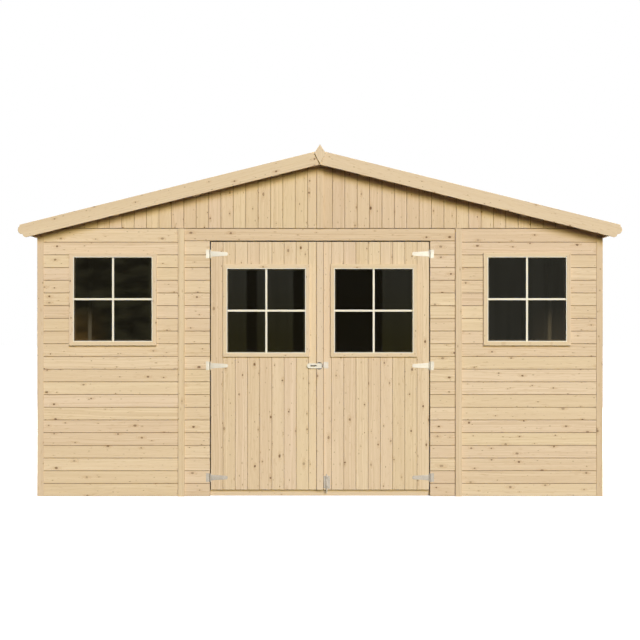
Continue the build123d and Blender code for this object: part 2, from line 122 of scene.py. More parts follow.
# %% Node helpers
def put(tree, kind, inputs=None, **settings):
    """Adds a node; its inputs are values, or sockets that get linked."""
    made = tree.nodes.new(kind)
    for name, value in settings.items():
        setattr(made, name, value)
    for key, value in (inputs or {}).items():
        if isinstance(value, bpy.types.NodeSocket):
            tree.links.new(value, made.inputs[key])
        else:
            made.inputs[key].default_value = value
    return made


def reckon(tree, operation, first, second=0.0, third=0.0):
    """One Math node; returns its result."""
    made = put(tree, "ShaderNodeMath", {0: first, 1: second, 2: third}, operation=operation)
    return made.outputs[0]


def span(tree, value, low, high, new_low=0.0, new_high=1.0):
    """Maps a value smoothly from one range to another and clamps it there."""
    made = put(tree, "ShaderNodeMapRange",
               {"Value": value, "From Min": low, "From Max": high,
                "To Min": new_low, "To Max": new_high}, interpolation_type="SMOOTHSTEP")
    return made.outputs["Result"]


def vector(tree, x=0.0, y=0.0, z=0.0):
    return put(tree, "ShaderNodeCombineXYZ", {0: x, 1: y, 2: z}).outputs[0]


def noise(tree, coordinates, scale=1.0, detail=2.0):
    made = put(tree, "ShaderNodeTexNoise",
               {"Vector": coordinates, "Scale": scale, "Detail": detail})
    return made.outputs["Fac"]


def blended(tree, share, first, second):
    """A colour between two colours; each is a value or a socket."""
    made = put(tree, "ShaderNodeMix", data_type="RGBA")
    for key, value in ((0, share), (6, first), (7, second)):
        if isinstance(value, bpy.types.NodeSocket):
            tree.links.new(value, made.inputs[key])
        else:
            made.inputs[key].default_value = value
    return made.outputs[2]


def colour(red, green, blue):
    """A colour written as 0 to 255 on the screen, as the linear values a shader wants."""
    parts = [part / 255 for part in (red, green, blue)]
    linear = [part / 12.92 if part <= 0.04045 else ((part + 0.055) / 1.055) ** 2.4
              for part in parts]
    return (*linear, 1.0)


def new_material(name):
    """An empty material: returns it, its tree and its Principled shader."""
    material = bpy.data.materials.new(name)
    material.use_nodes = True
    tree = material.node_tree
    return material, tree, tree.nodes["Principled BSDF"]


# %% [markdown]
# ## Floor and background
# The ground is a plain white sheet. For the camera, and for metal and glass, it glows a little
# besides being lit, so it reads as white and still keeps the shed's shadow. For light that
# bounces it is dull, or it would wash out the shadow under the roof.

# %% Floor and background
def seen_directly(tree):
    """1 for rays from the camera, or seen in gloss or through glass, and 0 for the rest."""
    path = put(tree, "ShaderNodeLightPath")
    share = path.outputs["Is Camera Ray"]
    for kind in ("Is Glossy Ray", "Is Transmission Ray"):
        share = reckon(tree, "MAXIMUM", share, path.outputs[kind])
    return share


world = bpy.data.worlds.new("studio")
world.use_nodes = True
scene.world = world
sky = world.node_tree
sky_light = sky.nodes["Background"]
ambient_level = 0.01
sky.links.new(reckon(sky, "MULTIPLY_ADD", seen_directly(sky), 1.0 - ambient_level, ambient_level),
              sky_light.inputs["Strength"])
sky_light.inputs["Color"].default_value = (1, 1, 1, 1)

floor_bm = bmesh.new()
bmesh.ops.create_grid(floor_bm, x_segments=1, y_segments=1, size=60.0)
floor_mesh = bpy.data.meshes.new("studio_floor")
floor_bm.to_mesh(floor_mesh)
floor_bm.free()
floor = bpy.data.objects.new("studio_floor", floor_mesh)
scene.collection.objects.link(floor)

white, tree, shader = new_material("studio_white")
seen = seen_directly(tree)
shader.inputs["Roughness"].default_value = 0.9
shader.inputs["Specular IOR Level"].default_value = 0.0
tree.links.new(blended(tree, seen, (0.02, 0.02, 0.02, 1), (0.9, 0.9, 0.9, 1)),
               shader.inputs["Base Color"])
shader.inputs["Emission Color"].default_value = (1, 1, 1, 1)
place = put(tree, "ShaderNodeTexCoord").outputs["Object"]
from_shed = put(tree, "ShaderNodeVectorMath", {0: place}, operation="LENGTH").outputs["Value"]
glow = span(tree, from_shed, 3.0, 9.0, 0.72, 1.0)
tree.links.new(reckon(tree, "MULTIPLY", seen, glow), shader.inputs["Emission Strength"])
floor.data.materials.append(white)

# %% [markdown]
# ## Pine
# Sawn pine shows its growth rings as lines along the board. Each board is cut at its own place
# in a log, so the pattern has to start afresh on every board and follow the board's length.
# An image would repeat; instead each board carries two small records. The grain record is a
# point's place along, across and through its board. The heart record says where the middle of
# the log lay, and gives the board a random number of its own. The rings are the distance from
# that middle, bent a little along the board and pushed aside round each knot.

# %% Pine
ring_gap = 0.0042
knot_cell = 0.140
pin_cell = 0.080
board_contrast = 0.13
board_half = 0.008
groove_depth = 0.0030
# the warm dark brown of the painted shade in the boards' joints
painted_joint_shade = (104, 66, 14)


def spots(tree, along, across, own, cell, shift):
    """A point's distance along and across from the nearest spot, and the spot's chances."""
    net = vector(tree, reckon(tree, "DIVIDE", along, cell),
                 reckon(tree, "MULTIPLY_ADD", own, shift,
                        reckon(tree, "DIVIDE", across, cell)))
    cells = put(tree, "ShaderNodeTexVoronoi", {"Vector": net, "Scale": 1.0},
                voronoi_dimensions="2D")
    offset = put(tree, "ShaderNodeVectorMath", {0: net, 1: cells.outputs["Position"]},
                 operation="SUBTRACT").outputs["Vector"]
    offset = put(tree, "ShaderNodeSeparateXYZ", {0: offset}).outputs
    chance = put(tree, "ShaderNodeSeparateColor", {0: cells.outputs["Color"]}).outputs
    return (reckon(tree, "MULTIPLY", offset[0], cell), reckon(tree, "MULTIPLY", offset[1], cell),
            chance)


def oval(tree, lengthways, sideways, stretch):
    """Distance from a spot's middle, measured so that a long oval counts as round."""
    lengthways = reckon(tree, "DIVIDE", lengthways, stretch)
    square = reckon(tree, "MULTIPLY", sideways, sideways)
    return reckon(tree, "SQRT", reckon(tree, "MULTIPLY_ADD", lengthways, lengthways, square))


def pine(name, yellow, pink, late, rings, streaks, knots=1.0, groove_shade=0.0):
    """Pine between two body colours, with rings and streaks in the late-wood colour, and painted
    shade in its joints when groove_shade is set.
    """
    material, tree, shader = new_material(name)
    grain = put(tree, "ShaderNodeAttribute", attribute_name="grain").outputs["Vector"]
    heart = put(tree, "ShaderNodeAttribute", attribute_name="heart").outputs["Vector"]
    grain = put(tree, "ShaderNodeSeparateXYZ", {0: grain}).outputs
    heart = put(tree, "ShaderNodeSeparateXYZ", {0: heart}).outputs
    along, across, through = grain[0], grain[1], grain[2]
    own = heart[2]

    # knots: one in each cell of a loose net laid over the board; no two have the same size,
    # outline or depth of colour, and round each the grain runs in a long eye
    ragged = noise(tree, vector(tree, reckon(tree, "MULTIPLY", along, 170.0),
                                reckon(tree, "MULTIPLY", across, 170.0), own), 1.0, 1.0)
    ragged = reckon(tree, "MULTIPLY_ADD", ragged, 0.9, 0.55)
    lengthways, sideways, chance = spots(tree, along, across, own, knot_cell, 37.0)
    size = reckon(tree, "MULTIPLY_ADD", reckon(tree, "POWER", chance[0], 1.6), 0.0058 * knots,
                  0.0020)
    stretch = reckon(tree, "MULTIPLY_ADD", chance[2], 0.7, 1.0)
    reach = reckon(tree, "DIVIDE", oval(tree, lengthways, sideways, stretch), size)
    reach = reckon(tree, "MULTIPLY", reach, ragged)
    knot = span(tree, reach, 0.7, 1.3, 1.0, 0.0)
    knot = reckon(tree, "MULTIPLY", knot, reckon(tree, "MULTIPLY_ADD", chance[1], 0.60, 0.38))
    eye = reckon(tree, "DIVIDE", oval(tree, lengthways, sideways, 3.2), size)
    round_knot = span(tree, eye, 0.8, 2.6, 1.0, 0.0)

    # pins: the traces of twigs, small, faint and many
    lengthways, sideways, chance = spots(tree, along, across, own, pin_cell, 53.0)
    pin_size = reckon(tree, "MULTIPLY_ADD", chance[0], 0.0016, 0.0010)
    pin = reckon(tree, "DIVIDE", oval(tree, lengthways, sideways, 2.4), pin_size)
    pin = span(tree, reckon(tree, "MULTIPLY", pin, ragged), 0.5, 1.6, 1.0, 0.0)
    pin = reckon(tree, "MULTIPLY", pin, chance[1])

    # rings: distance from the log's middle, with a slow bend along the board
    bend = noise(tree, vector(tree, reckon(tree, "MULTIPLY", along, 1.1), own), 1.0, 1.0)
    bend = reckon(tree, "MULTIPLY_ADD", bend, 0.06, -0.03)
    aside = reckon(tree, "ADD", reckon(tree, "SUBTRACT", across, heart[0]), bend)
    deep = reckon(tree, "SUBTRACT", through, heart[1])
    radius = reckon(tree, "SQRT", reckon(tree, "MULTIPLY_ADD", aside, aside,
                                         reckon(tree, "MULTIPLY", deep, deep)))
    radius = reckon(tree, "MULTIPLY_ADD", round_knot, reckon(tree, "MULTIPLY", size, 1.6), radius)
    fibre_place = vector(tree, reckon(tree, "MULTIPLY", along, 5.0),
                         reckon(tree, "MULTIPLY", across, 260.0),
                         reckon(tree, "MULTIPLY_ADD", own, 90.0,
                                reckon(tree, "MULTIPLY", through, 260.0)))
    fibre = noise(tree, fibre_place, 1.0, 3.0)
    streak_place = vector(tree, reckon(tree, "MULTIPLY", along, 1.3),
                          reckon(tree, "MULTIPLY", across, 42.0),
                          reckon(tree, "MULTIPLY", own, 60.0))
    streak = noise(tree, streak_place, 1.0, 2.0)
    dash_place = vector(tree, reckon(tree, "MULTIPLY", along, 16.0),
                        reckon(tree, "MULTIPLY", across, 130.0),
                        reckon(tree, "MULTIPLY", own, 31.0))
    dash = span(tree, noise(tree, dash_place, 1.0, 1.0), 0.62, 0.76)
    turns = reckon(tree, "ADD", reckon(tree, "DIVIDE", radius, ring_gap), fibre)
    phase = reckon(tree, "FRACT", turns)
    late_wood = reckon(tree, "MULTIPLY", span(tree, phase, 0.25, 0.85),
                       span(tree, phase, 0.9, 1.0, 1.0, 0.0))

    # colour: pale early wood, darker rings, slow streaks, brown knots with a dark rim
    body_colour = blended(tree, own, colour(*yellow), colour(*pink))
    tint = reckon(tree, "MULTIPLY_ADD", streak, streaks, -0.25 * streaks)
    tint = reckon(tree, "MULTIPLY_ADD", late_wood, rings, tint)
    lightness = reckon(tree, "FRACT", reckon(tree, "MULTIPLY", own, 17.3))
    tint = reckon(tree, "MULTIPLY_ADD", lightness, board_contrast, tint)
    wood = blended(tree, tint, body_colour, colour(*late))
    wood = blended(tree, reckon(tree, "MULTIPLY", dash, 0.26), wood, colour(168, 126, 78))
    wood = blended(tree, reckon(tree, "MULTIPLY", round_knot, 0.24), wood, colour(176, 134, 84))
    wood = blended(tree, reckon(tree, "MULTIPLY", pin, 0.75), wood, colour(120, 88, 48))
    rim = span(tree, reach, 0.45, 0.95)
    knot_colour = blended(tree, rim, colour(116, 80, 40), colour(74, 50, 26))
    wood = blended(tree, knot, wood, knot_colour)
    # painted shade: the chamfers and groove of a joint, sunk below the board's face, are coloured
    # towards a warm dark brown, so each V reads as a deep shadow line
    if groove_shade:
        sunk = reckon(tree, "SUBTRACT", board_half, reckon(tree, "ABSOLUTE", through))
        sunk = span(tree, sunk, 0.0004, groove_depth, 0.0, groove_shade)
        wood = blended(tree, sunk, wood, colour(*painted_joint_shade))
    tree.links.new(wood, shader.inputs["Base Color"])

    shader.inputs["Specular IOR Level"].default_value = 0.25
    rough = reckon(tree, "MULTIPLY_ADD", late_wood, -0.10, 0.68)
    tree.links.new(rough, shader.inputs["Roughness"])
    height = reckon(tree, "MULTIPLY_ADD", late_wood, 0.35, reckon(tree, "MULTIPLY", fibre, 0.65))
    bump = put(tree, "ShaderNodeBump", {"Height": height, "Strength": 0.35, "Distance": 0.0006})
    tree.links.new(bump.outputs["Normal"], shader.inputs["Normal"])
    return material


pine_boards = pine("pine_boards", (227, 205, 165), (225, 201, 168), (170, 134, 88), 0.22,
                   0.34, groove_shade=0.75)
# pine_shaded is pine_boards a little darker and warmer: painted shade, the soft shade of the
# roof's overhang laid on the gable boards; the board over the doors uses it too
pine_shaded = pine("pine_shaded", (222, 199, 157), (219, 194, 160), (170, 134, 88), 0.22,
                  0.34, groove_shade=0.75)
pine_trim = pine("pine_trim", (224, 203, 164), (221, 198, 165), (182, 148, 104), 0.18, 0.26, 0.6)
pine_strip = pine("pine_strip", (219, 197, 157), (216, 193, 159), (176, 138, 94), 0.22, 0.36, 0.6)
pine_battens = pine("pine_battens", (220, 198, 158), (218, 192, 158), (176, 138, 94), 0.30, 0.36)
print("pine finishes: 5, rings", ring_gap * 1000, "mm apart")

# %% [markdown]
# ## Writing the two records
# Every separate board in a mesh is an island: no edge joins it to the next. The helper finds
# the islands, takes the longest direction of each as its grain, and writes both records to its
# points. Working from the finished mesh means it does not matter how a board was cut.

# %% Grain records
dice = np.random.default_rng(23)


def islands(mesh):
    """A number for each point, the same for all points of one separate board."""
    ends = np.empty(len(mesh.edges) * 2, int)
    mesh.edges.foreach_get("vertices", ends)
    first, second = ends.reshape(-1, 2).T
    label = np.arange(len(mesh.vertices))
    while True:
        lowest = np.minimum(label[first], label[second])
        update = label.copy()
        np.minimum.at(update, first, lowest)
        np.minimum.at(update, second, lowest)
        update = update[update]
        if np.array_equal(update, label):
            return label
        label = update


def write_grain(mesh, along=None):
    """Writes the grain and heart records, with the grain along each board's length."""
    points = np.empty(len(mesh.vertices) * 3)
    mesh.vertices.foreach_get("co", points)
    points = points.reshape(-1, 3)
    grain, heart = np.zeros_like(points), np.zeros_like(points)
    label = islands(mesh)
    boards = np.unique(label)
    for board in boards:
        mine = label == board
        middle = (points[mine].min(0) + points[mine].max(0)) / 2
        spread = points[mine] - middle
        if along is None:
            axes = np.linalg.svd(spread, full_matrices=False)[2]
        else:
            flat = spread - np.outer(spread @ np.array(along), np.array(along))
            across = np.linalg.svd(flat, full_matrices=False)[2][0]
            axes = np.array([along, across, np.cross(along, across)])
        square = np.abs(axes) > 0.99
        axes = np.where(square.any(1)[:, None], np.where(square, np.sign(axes), 0.0), axes)
        grain[mine] = spread @ axes.T + (dice.uniform(0, 90), 0, 0)
        heart[mine] = (dice.normal(0, 0.045), dice.uniform(0.015, 0.11), dice.uniform(0, 1))
    for name, values in (("grain", grain), ("heart", heart)):
        record = mesh.attributes.new(name, "FLOAT_VECTOR", "POINT")
        record.data.foreach_set("vector", values.astype(np.float32).ravel())
    return len(boards)


# %% [markdown]
# ## From a bmesh to a piece
# All new pieces go the same way: close and orient the faces, cut holes if there are any, write
# the grain, hang the piece on its CAD body and hide the CAD nodes that it stands for. A hole is
# cut with one Boolean, the way a joiner saws an opening through boards that are already nailed up.

# %% Finish a piece
def as_object(name, bm):
    bmesh.ops.recalc_face_normals(bm, faces=bm.faces)
    mesh = bpy.data.meshes.new(name)
    bm.to_mesh(mesh)
    bm.free()
    made = bpy.data.objects.new(name, mesh)
    scene.collection.objects.link(made)
    return made


def saw(piece, cutter):
    """Cuts the cutter's shape out of a piece and removes the cutter."""
    tool = as_object("cutter", cutter)
    cut = piece.modifiers.new("saw", "BOOLEAN")
    cut.operation = "DIFFERENCE"
    cut.solver = "EXACT"
    cut.object = tool
    bpy.context.view_layer.update()
    shaped = piece.evaluated_get(bpy.context.evaluated_depsgraph_get())
    mesh = bpy.data.meshes.new_from_object(shaped)
    piece.modifiers.clear()
    piece.data = mesh
    bpy.data.objects.remove(tool)


def piece(name, bm, body, slot, material, *nodes, cutter=None, along=None):
    """Makes the object and returns it; nodes are the CAD nodes that it stands for."""
    made = as_object(name, bm)
    if cutter:
        saw(made, cutter)
        made.data.name = name
    boards = write_grain(made.data, along) if slot.startswith("pine") else 0
    made.data.materials.clear()
    made.data.materials.append(material)
    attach(made, body)
    if nodes:
        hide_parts(*nodes)
    print(f"{name}: {boards or 'no'} boards, {len(made.data.polygons)} faces")
    return made


# %% [markdown]
# ## Planks and tongue-and-groove boards
# A planed plank is a box with eased arrises, so it starts as a cube that is scaled, and its
# edges are bevelled. A tongue-and-groove board has a profile that no cube gives: its outline is
# a few points, filled as one face and extruded along the board. The face edges are chamfered,
# so two boards meet in a V; the tongue stands behind the V and closes the joint.

# %% Planks
arris = 0.0015


def plank(bm, low, high, ease=arris):
    """A box between two corners, with its edges eased."""
    low, high = Vector(low), Vector(high)
    corners = bmesh.ops.create_cube(bm, size=1.0)["verts"]
    bmesh.ops.scale(bm, vec=high - low, verts=corners)
    bmesh.ops.translate(bm, vec=(low + high) / 2, verts=corners)
    if ease:
        edges = list({edge for corner in corners for edge in corner.link_edges})
        bmesh.ops.bevel(bm, geom=edges, offset=ease, segments=2, profile=0.5, affect="EDGES",
                        material=-1)


def extruded(bm, outline, path):
    """A prism: an outline of 3-D points, pushed along a vector."""
    face = bm.faces.new([bm.verts.new(point) for point in outline])
    made = bmesh.ops.extrude_face_region(bm, geom=[face])
    moved = [item for item in made["geom"] if isinstance(item, bmesh.types.BMVert)]
    bmesh.ops.translate(bm, vec=path, verts=moved)
    return [face] + [item for item in made["geom"] if isinstance(item, bmesh.types.BMFace)]


# %% Tongue-and-groove boards
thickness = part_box("back_wall")[1].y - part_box("back_wall")[0].y
wall_joint = (0.0012, 0.0028)
gable_joint = (0.0011, 0.0024)
door_joint = (0.0010, 0.0020)
inside_joint = (0.0006, 0.0020)
tongue_length = 0.006
tongue_near, tongue_far = 0.0055, 0.0105
tongue_play = 0.0003


def profile(cover, tongue, joint, chamfer):
    """(across, into the wall) of a board's outline; the face of the wall is at 0."""
    low, high = joint / 2, cover - joint / 2
    points = [(low + chamfer, 0), (high - chamfer, 0), (high, chamfer)]
    if tongue:
        points += [(high, tongue_near), (high + tongue_length, tongue_near + tongue_play),
                   (high + tongue_length, tongue_far - tongue_play), (high, tongue_far)]
    groove = low + tongue_length + joint
    points += [(high, thickness), (low, thickness), (low, tongue_far + tongue_play),
               (groove, tongue_far + tongue_play), (groove, tongue_near - tongue_play),
               (low, tongue_near - tongue_play), (low, chamfer)]
    return points


def lay_boards(bm, lines, corner, along, across, inward, length, gap=wall_joint):
    """Boards side by side across a wall; gap is the joint's width and its chamfer."""
    for low, high in zip(lines, lines[1:]):
        start = corner + across * low
        outline = [start + across * side + inward * depth
                   for side, depth in profile(high - low, high < lines[-1], *gap)]
        extruded(bm, outline, along * length)


def even_lines(total, pitch, first=None):
    """Joint lines over a width: a first board, then full boards, then what is left."""
    lines = [0.0]
    place = pitch if first is None else first
    while place < total - 0.3 * pitch:
        lines.append(place)
        place += pitch
    return lines + [total]


print("wall joint of", wall_joint[0] * 1000, "mm in a V", 2 * wall_joint[1] * 1000, "mm wide")

# %% [markdown]
# ## Front wall
# The wide panels and the narrow ones beside the doors are boards laid flat, one above the
# other, with the tongue up so that rain runs off. Their joints run at the same heights right
# across the front. Each wide panel has its window sawn out of it.

# %% Front wall
course = 0.0894
first_course = 0.090
pane_low, pane_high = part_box("right_door_glass")
pane_size = pane_high - pane_low
lining = 0.012


def window_cutter(bm, frame_node, glass_low, glass_high):
    """A box through the wall where the window's lining goes."""
    low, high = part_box(frame_node)
    margin = lining + 0.0003
    plank(bm, (glass_low.x - margin, low.y - 0.05, glass_low.z - margin),
          (glass_high.x + margin, high.y + 0.05, glass_high.z + margin), ease=0)


def pane_at(side, wall):
    """Lowest and highest corner of the pane on one side, in the wall or in the door."""
    if wall:
        low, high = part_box("window_glass")
        outer = high.x
        inner = outer - pane_size.x
    else:
        low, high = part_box("right_door_glass")
        inner, outer = low.x, high.x
    ends = sorted((side * inner, side * outer))
    return Vector((ends[0], low.y, low.z)), Vector((ends[1], high.y, high.z))


for side, word in ((-1, "left"), (1, "right")):
    low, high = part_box(f"front_panel_{word}")
    bm = bmesh.new()
    lay_boards(bm, even_lines(high.z - low.z, course, first_course), low, X, Z, Y,
               high.x - low.x)
    hole = bmesh.new()
    window_cutter(hole, f"window_frame_{word}", *pane_at(side, wall=True))
    piece(f"panel_boards_{word}", bm, "shed", "pine_boards", pine_boards,
          f"front_panel_{word}", cutter=hole)

low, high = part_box("front_infills")
header_low, header_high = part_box("door_header")
bm = bmesh.new()
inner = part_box("door_sill")[1].x
for start in (low.x, inner):
    lay_boards(bm, even_lines(high.z - low.z, course, first_course), Vector((start, low.y, low.z)),
               X, Z, Y, high.x - inner)
piece("narrow_panel_boards", bm, "shed", "pine_boards", pine_boards, "front_infills")

bm = bmesh.new()
lay_boards(bm, [0.0, header_high.z - header_low.z], header_low, X, Z, Y,
           header_high.x - header_low.x)
piece("board_over_doors", bm, "shed", "pine_boards", pine_shaded, "door_header")

# %% [markdown]
# ## Side walls and back wall
# These are never shown in the front view, so they repeat the front's materials plainly: the
# same boards at the same heights, in panels that meet under the cover strips.

# %% Side walls and back wall
low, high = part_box("side_wall_right")
for side, word in ((-1, "left"), (1, "right")):
    bm = bmesh.new()
    face = high.x * side
    for start, end in ((low.y, 0.0), (0.0, high.y)):
        lay_boards(bm, even_lines(high.z - low.z, course, first_course),
                   Vector((face, start, low.z)), Y, Z, -X * side, end - start)
    piece(f"side_boards_{word}", bm, "shed", "pine_boards", pine_boards, f"side_wall_{word}")

low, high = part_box("back_wall")
joint_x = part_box("front_infills")[1].x
bm = bmesh.new()
for start, end in ((low.x, -joint_x), (-joint_x, 0.0), (0.0, joint_x), (joint_x, high.x)):
    lay_boards(bm, even_lines(high.z - low.z, course, first_course),
               Vector((start, high.y, low.z)), X, Z, -Y, end - start)
piece("back_boards", bm, "shed", "pine_boards", pine_boards, "back_wall")

# %% [markdown]
# ## Gables
# The gable boards stand upright. They are laid too long, sawn off along the roof slope with
# two bisecting planes, and then notched round the purlins by one Boolean.

# %% Gables
gable_low, gable_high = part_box("gable_front")
deck_low, deck_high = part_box("roof_deck_right")
deck_rise = thickness * math.hypot(1, (deck_high.z - deck_low.z) / deck_high.x)
slope = math.atan2(deck_high.z - deck_low.z - deck_rise, deck_high.x)
deck_apex = deck_high.z - thickness / math.cos(slope)
slope = math.atan2(deck_apex - deck_low.z, deck_high.x)
gable_pitch = 0.0872
notch_play = 0.0005
gable_proud = 0.002
gable_foot = 0.0032
print("roof pitch", round(math.degrees(slope), 2), "degrees, boards' underside", deck_apex)


def cut_to_slope(bm, height):
    """Cuts away what is above the roof slopes, where they meet at this height."""
    for side in (-1, 1):
        bmesh.ops.bisect_plane(bm, geom=bm.verts[:] + bm.edges[:] + bm.faces[:],
                               plane_co=(0, 0, height),
                               plane_no=(side * math.sin(slope), 0, math.cos(slope)),
                               clear_outer=True)
        bmesh.ops.holes_fill(bm, edges=[edge for edge in bm.edges if edge.is_boundary], sides=0)


def purlin_notches():
    """The purlins, a little larger, as one cutter."""
    bm = bmesh.new()
    bm.from_mesh(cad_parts["purlins"].data)
    bmesh.ops.remove_doubles(bm, verts=bm.verts, dist=1e-5)
    bmesh.ops.recalc_face_normals(bm, faces=bm.faces)
    for vertex in bm.verts:
        vertex.co += vertex.normal * notch_play * 1.7
    return bm


for word, face, inward in (("front", gable_low.y, Y), ("back", -gable_low.y, -Y)):
    bm = bmesh.new()
    for side in (-1, 1):
        corner = Vector((0, face, gable_low.z + gable_foot)) - inward * gable_proud
        lay_boards(bm, even_lines(gable_high.x, gable_pitch), corner, Z, X * side, inward,
                   deck_apex - gable_low.z, gap=gable_joint)
    cut_to_slope(bm, deck_apex)
    piece(f"gable_boards_{word}", bm, "shed", "pine_boards", pine_shaded, f"gable_{word}",
          cutter=purlin_notches(), along=(0, 0, 1))

# %% [markdown]
# ## Battens
# Behind the boards stands the framing: upright posts with rails cut to fit between them. In
# the CAD each frame is one solid; here every batten is its own plank, butted against its
# neighbours, so each has its own grain and end grain shows where a real joint is.

# %% Battens
batten_deep = 0.028
batten_wide = 0.045
wall_top = gable_low.z
inner_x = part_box("floor_deck")[1].x
inner_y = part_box("floor_deck")[1].y
frame_x = inner_x + batten_deep


def corner_of(across, depth, height, lengthwise):
    """A point of a wall that runs along X, or along Y."""
    return (across, depth, height) if lengthwise == "x" else (depth, across, height)


def framing(bm, posts, rails, depth, foot, head, lengthwise="x"):
    """Posts at (from, to) places, and between each two of them a rail at each height."""
    posts = sorted(tuple(sorted(post)) for post in posts)
    for start, end in posts:
        plank(bm, corner_of(start, depth[0], foot, lengthwise),
              corner_of(end, depth[1], head, lengthwise))
    for before, after in zip(posts, posts[1:]):
        if after[0] - before[1] < 0.001:
            continue
        for low, high in rails:
            plank(bm, corner_of(before[1], depth[0], low, lengthwise),
                  corner_of(after[0], depth[1], high, lengthwise))


def rails_at(*feet):
    return [(foot, foot + batten_wide) for foot in feet]


three_rails = rails_at(0.0, (wall_top - batten_wide) / 2, wall_top - batten_wide)
front_depth = (-inner_y, -inner_y - batten_deep)
front_depth = tuple(sorted(front_depth))
bm = bmesh.new()
for side in (-1, 1):
    glass_low, glass_high = pane_at(side, wall=True)
    sill, lintel = glass_low.z - lining, glass_high.z + lining
    outer = (side * frame_x, side * (frame_x - batten_wide))
    near = (side * joint_x, side * (joint_x + batten_wide))
    framing(bm, [outer, near], rails_at(0.0, sill - batten_wide, lintel, wall_top - batten_wide),
            front_depth, 0.0, wall_top)
    middle = (glass_low.x + glass_high.x) / 2
    plank(bm, (middle - batten_wide / 2, front_depth[0], batten_wide),
          (middle + batten_wide / 2, front_depth[1], sill - batten_wide))
piece("front_battens", bm, "shed", "pine_battens", pine_battens, "front_frames")

bm = bmesh.new()
doorway = inner
for side in (-1, 1):
    jamb = (side * doorway, side * (doorway + batten_wide))
    edge = (side * (joint_x - batten_wide), side * joint_x)
    framing(bm, [jamb, edge], rails_at(0.0), front_depth, 0.0, wall_top - batten_wide)
plank(bm, (-joint_x, front_depth[0], wall_top - batten_wide), (joint_x, front_depth[1], wall_top))
piece("doorway_battens", bm, "shed", "pine_battens", pine_battens, "door_frame")

bm = bmesh.new()
for side in (-1, 1):
    depth = tuple(sorted((side * inner_x, side * frame_x)))
    posts = [(-inner_y, -inner_y + batten_wide), (-batten_wide, 0), (0, batten_wide),
             (inner_y - batten_wide, inner_y)]
    framing(bm, posts, three_rails, depth, 0.0, wall_top, lengthwise="y")
piece("side_battens", bm, "shed", "pine_battens", pine_battens, "side_frames")

bm = bmesh.new()
posts = [(-batten_wide, 0), (0, batten_wide)]
for side in (-1, 1):
    posts += [(side * (frame_x - batten_wide), side * frame_x),
              (side * (joint_x - batten_wide), side * joint_x),
              (side * joint_x, side * (joint_x + batten_wide))]
framing(bm, posts, three_rails, (inner_y, inner_y + batten_deep), 0.0, wall_top)
piece("back_battens", bm, "shed", "pine_battens", pine_battens, "back_frame")

# %% Gable battens
purlin_deep = 0.0705
fall = math.tan(slope)


def on_slope(side, along, below):
    """(x, z) this far down a roof slope from the ridge and this far below its boards."""
    x = along * math.cos(slope) - below * math.sin(slope)
    return side * x, deck_apex - along * math.sin(slope) - below * math.cos(slope)


def sloped_bar(bm, side, start, end, top, bottom, depth, ease=arris):
    """A bar in the roof slope, with square ends, between two values of Y."""
    corners = [on_slope(side, *place)
               for place in ((start, top), (end, top), (end, bottom), (start, bottom))]
    faces = extruded(bm, [(x, depth[0], z) for x, z in corners], (0, depth[1] - depth[0], 0))
    if ease:
        bmesh.ops.bevel(bm, geom=list({edge for face in faces for edge in face.edges}),
                        offset=ease, segments=2, profile=0.5, affect="EDGES", material=-1)


chord_top = wall_top + batten_wide
low_side = purlin_deep + batten_wide
rafter_end = (deck_apex - chord_top) / math.sin(slope) - purlin_deep / math.tan(slope)
bm = bmesh.new()
for facing in (-1, 1):
    depth = tuple(sorted((facing * inner_y, facing * (inner_y + batten_deep))))
    chord_reach = (deck_apex - chord_top) / fall
    chord = [(-inner_x, wall_top), (inner_x, wall_top), (inner_x, deck_apex - fall * inner_x),
             (chord_reach, chord_top), (-chord_reach, chord_top),
             (-inner_x, deck_apex - fall * inner_x)]
    extruded(bm, [(x, depth[0], z) for x, z in chord], (0, batten_deep, 0))
    half = batten_wide / 2
    post_head = deck_apex - low_side / math.cos(slope) - half * fall
    plank(bm, (-half, depth[0], chord_top), (half, depth[1], post_head))
    for side in (-1, 1):
        outline = [(0.0, deck_apex - purlin_deep / math.cos(slope)),
                   on_slope(side, rafter_end, purlin_deep),
                   on_slope(side, rafter_end - batten_wide / math.tan(slope), low_side),
                   (0.0, deck_apex - low_side / math.cos(slope))]
        extruded(bm, [(x, depth[0], z) for x, z in outline], (0, batten_deep, 0))
piece("gable_battens", bm, "shed", "pine_battens", pine_battens, "gable_frames")

# %% [markdown]
# ## Floor
# Floorboards run across the shed on seven bearers, laid in two lengths whose ends meet on a
# bearer, on alternate bearers from row to row as a joiner would stagger them.

# %% Floor
low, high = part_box("floor_deck")
bearer_low, bearer_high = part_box("floor_bearers")
bearer_step = (bearer_high.x - bearer_low.x - batten_wide) / 6
end_gap = 0.0003
sill_low, sill_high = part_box("door_sill")
rows = even_lines(high.y - low.y, course)
bm = bmesh.new()
for row, (near, far) in enumerate(zip(rows, rows[1:])):
    meet = bearer_step * (1 if row % 2 else -1)
    for start, end in ((low.x, meet - end_gap), (meet + end_gap, high.x)):
        lay_boards(bm, [0.0, far - near], Vector((start, low.y + near, high.z)), X, Y, -Z,
                   end - start, gap=inside_joint)
notch = bmesh.new()
plank(notch, (sill_low.x - 0.0005, low.y - 0.05, low.z - 0.05),
      (sill_high.x + 0.0005, sill_high.y + 0.0005, high.z + 0.05), ease=0)
piece("floor_boards", bm, "shed", "pine_battens", pine_battens, "floor_deck", cutter=notch)

# %% [markdown]
# ## Planed parts taken from the CAD
# Strips, bargeboards, purlins and sills already have their right outline in the CAD; all they
# lack is an eased arris, which catches the light on real timber. Each is a copy of its CAD
# mesh: its loose triangles are merged, flat faces joined, and every sharp edge bevelled.

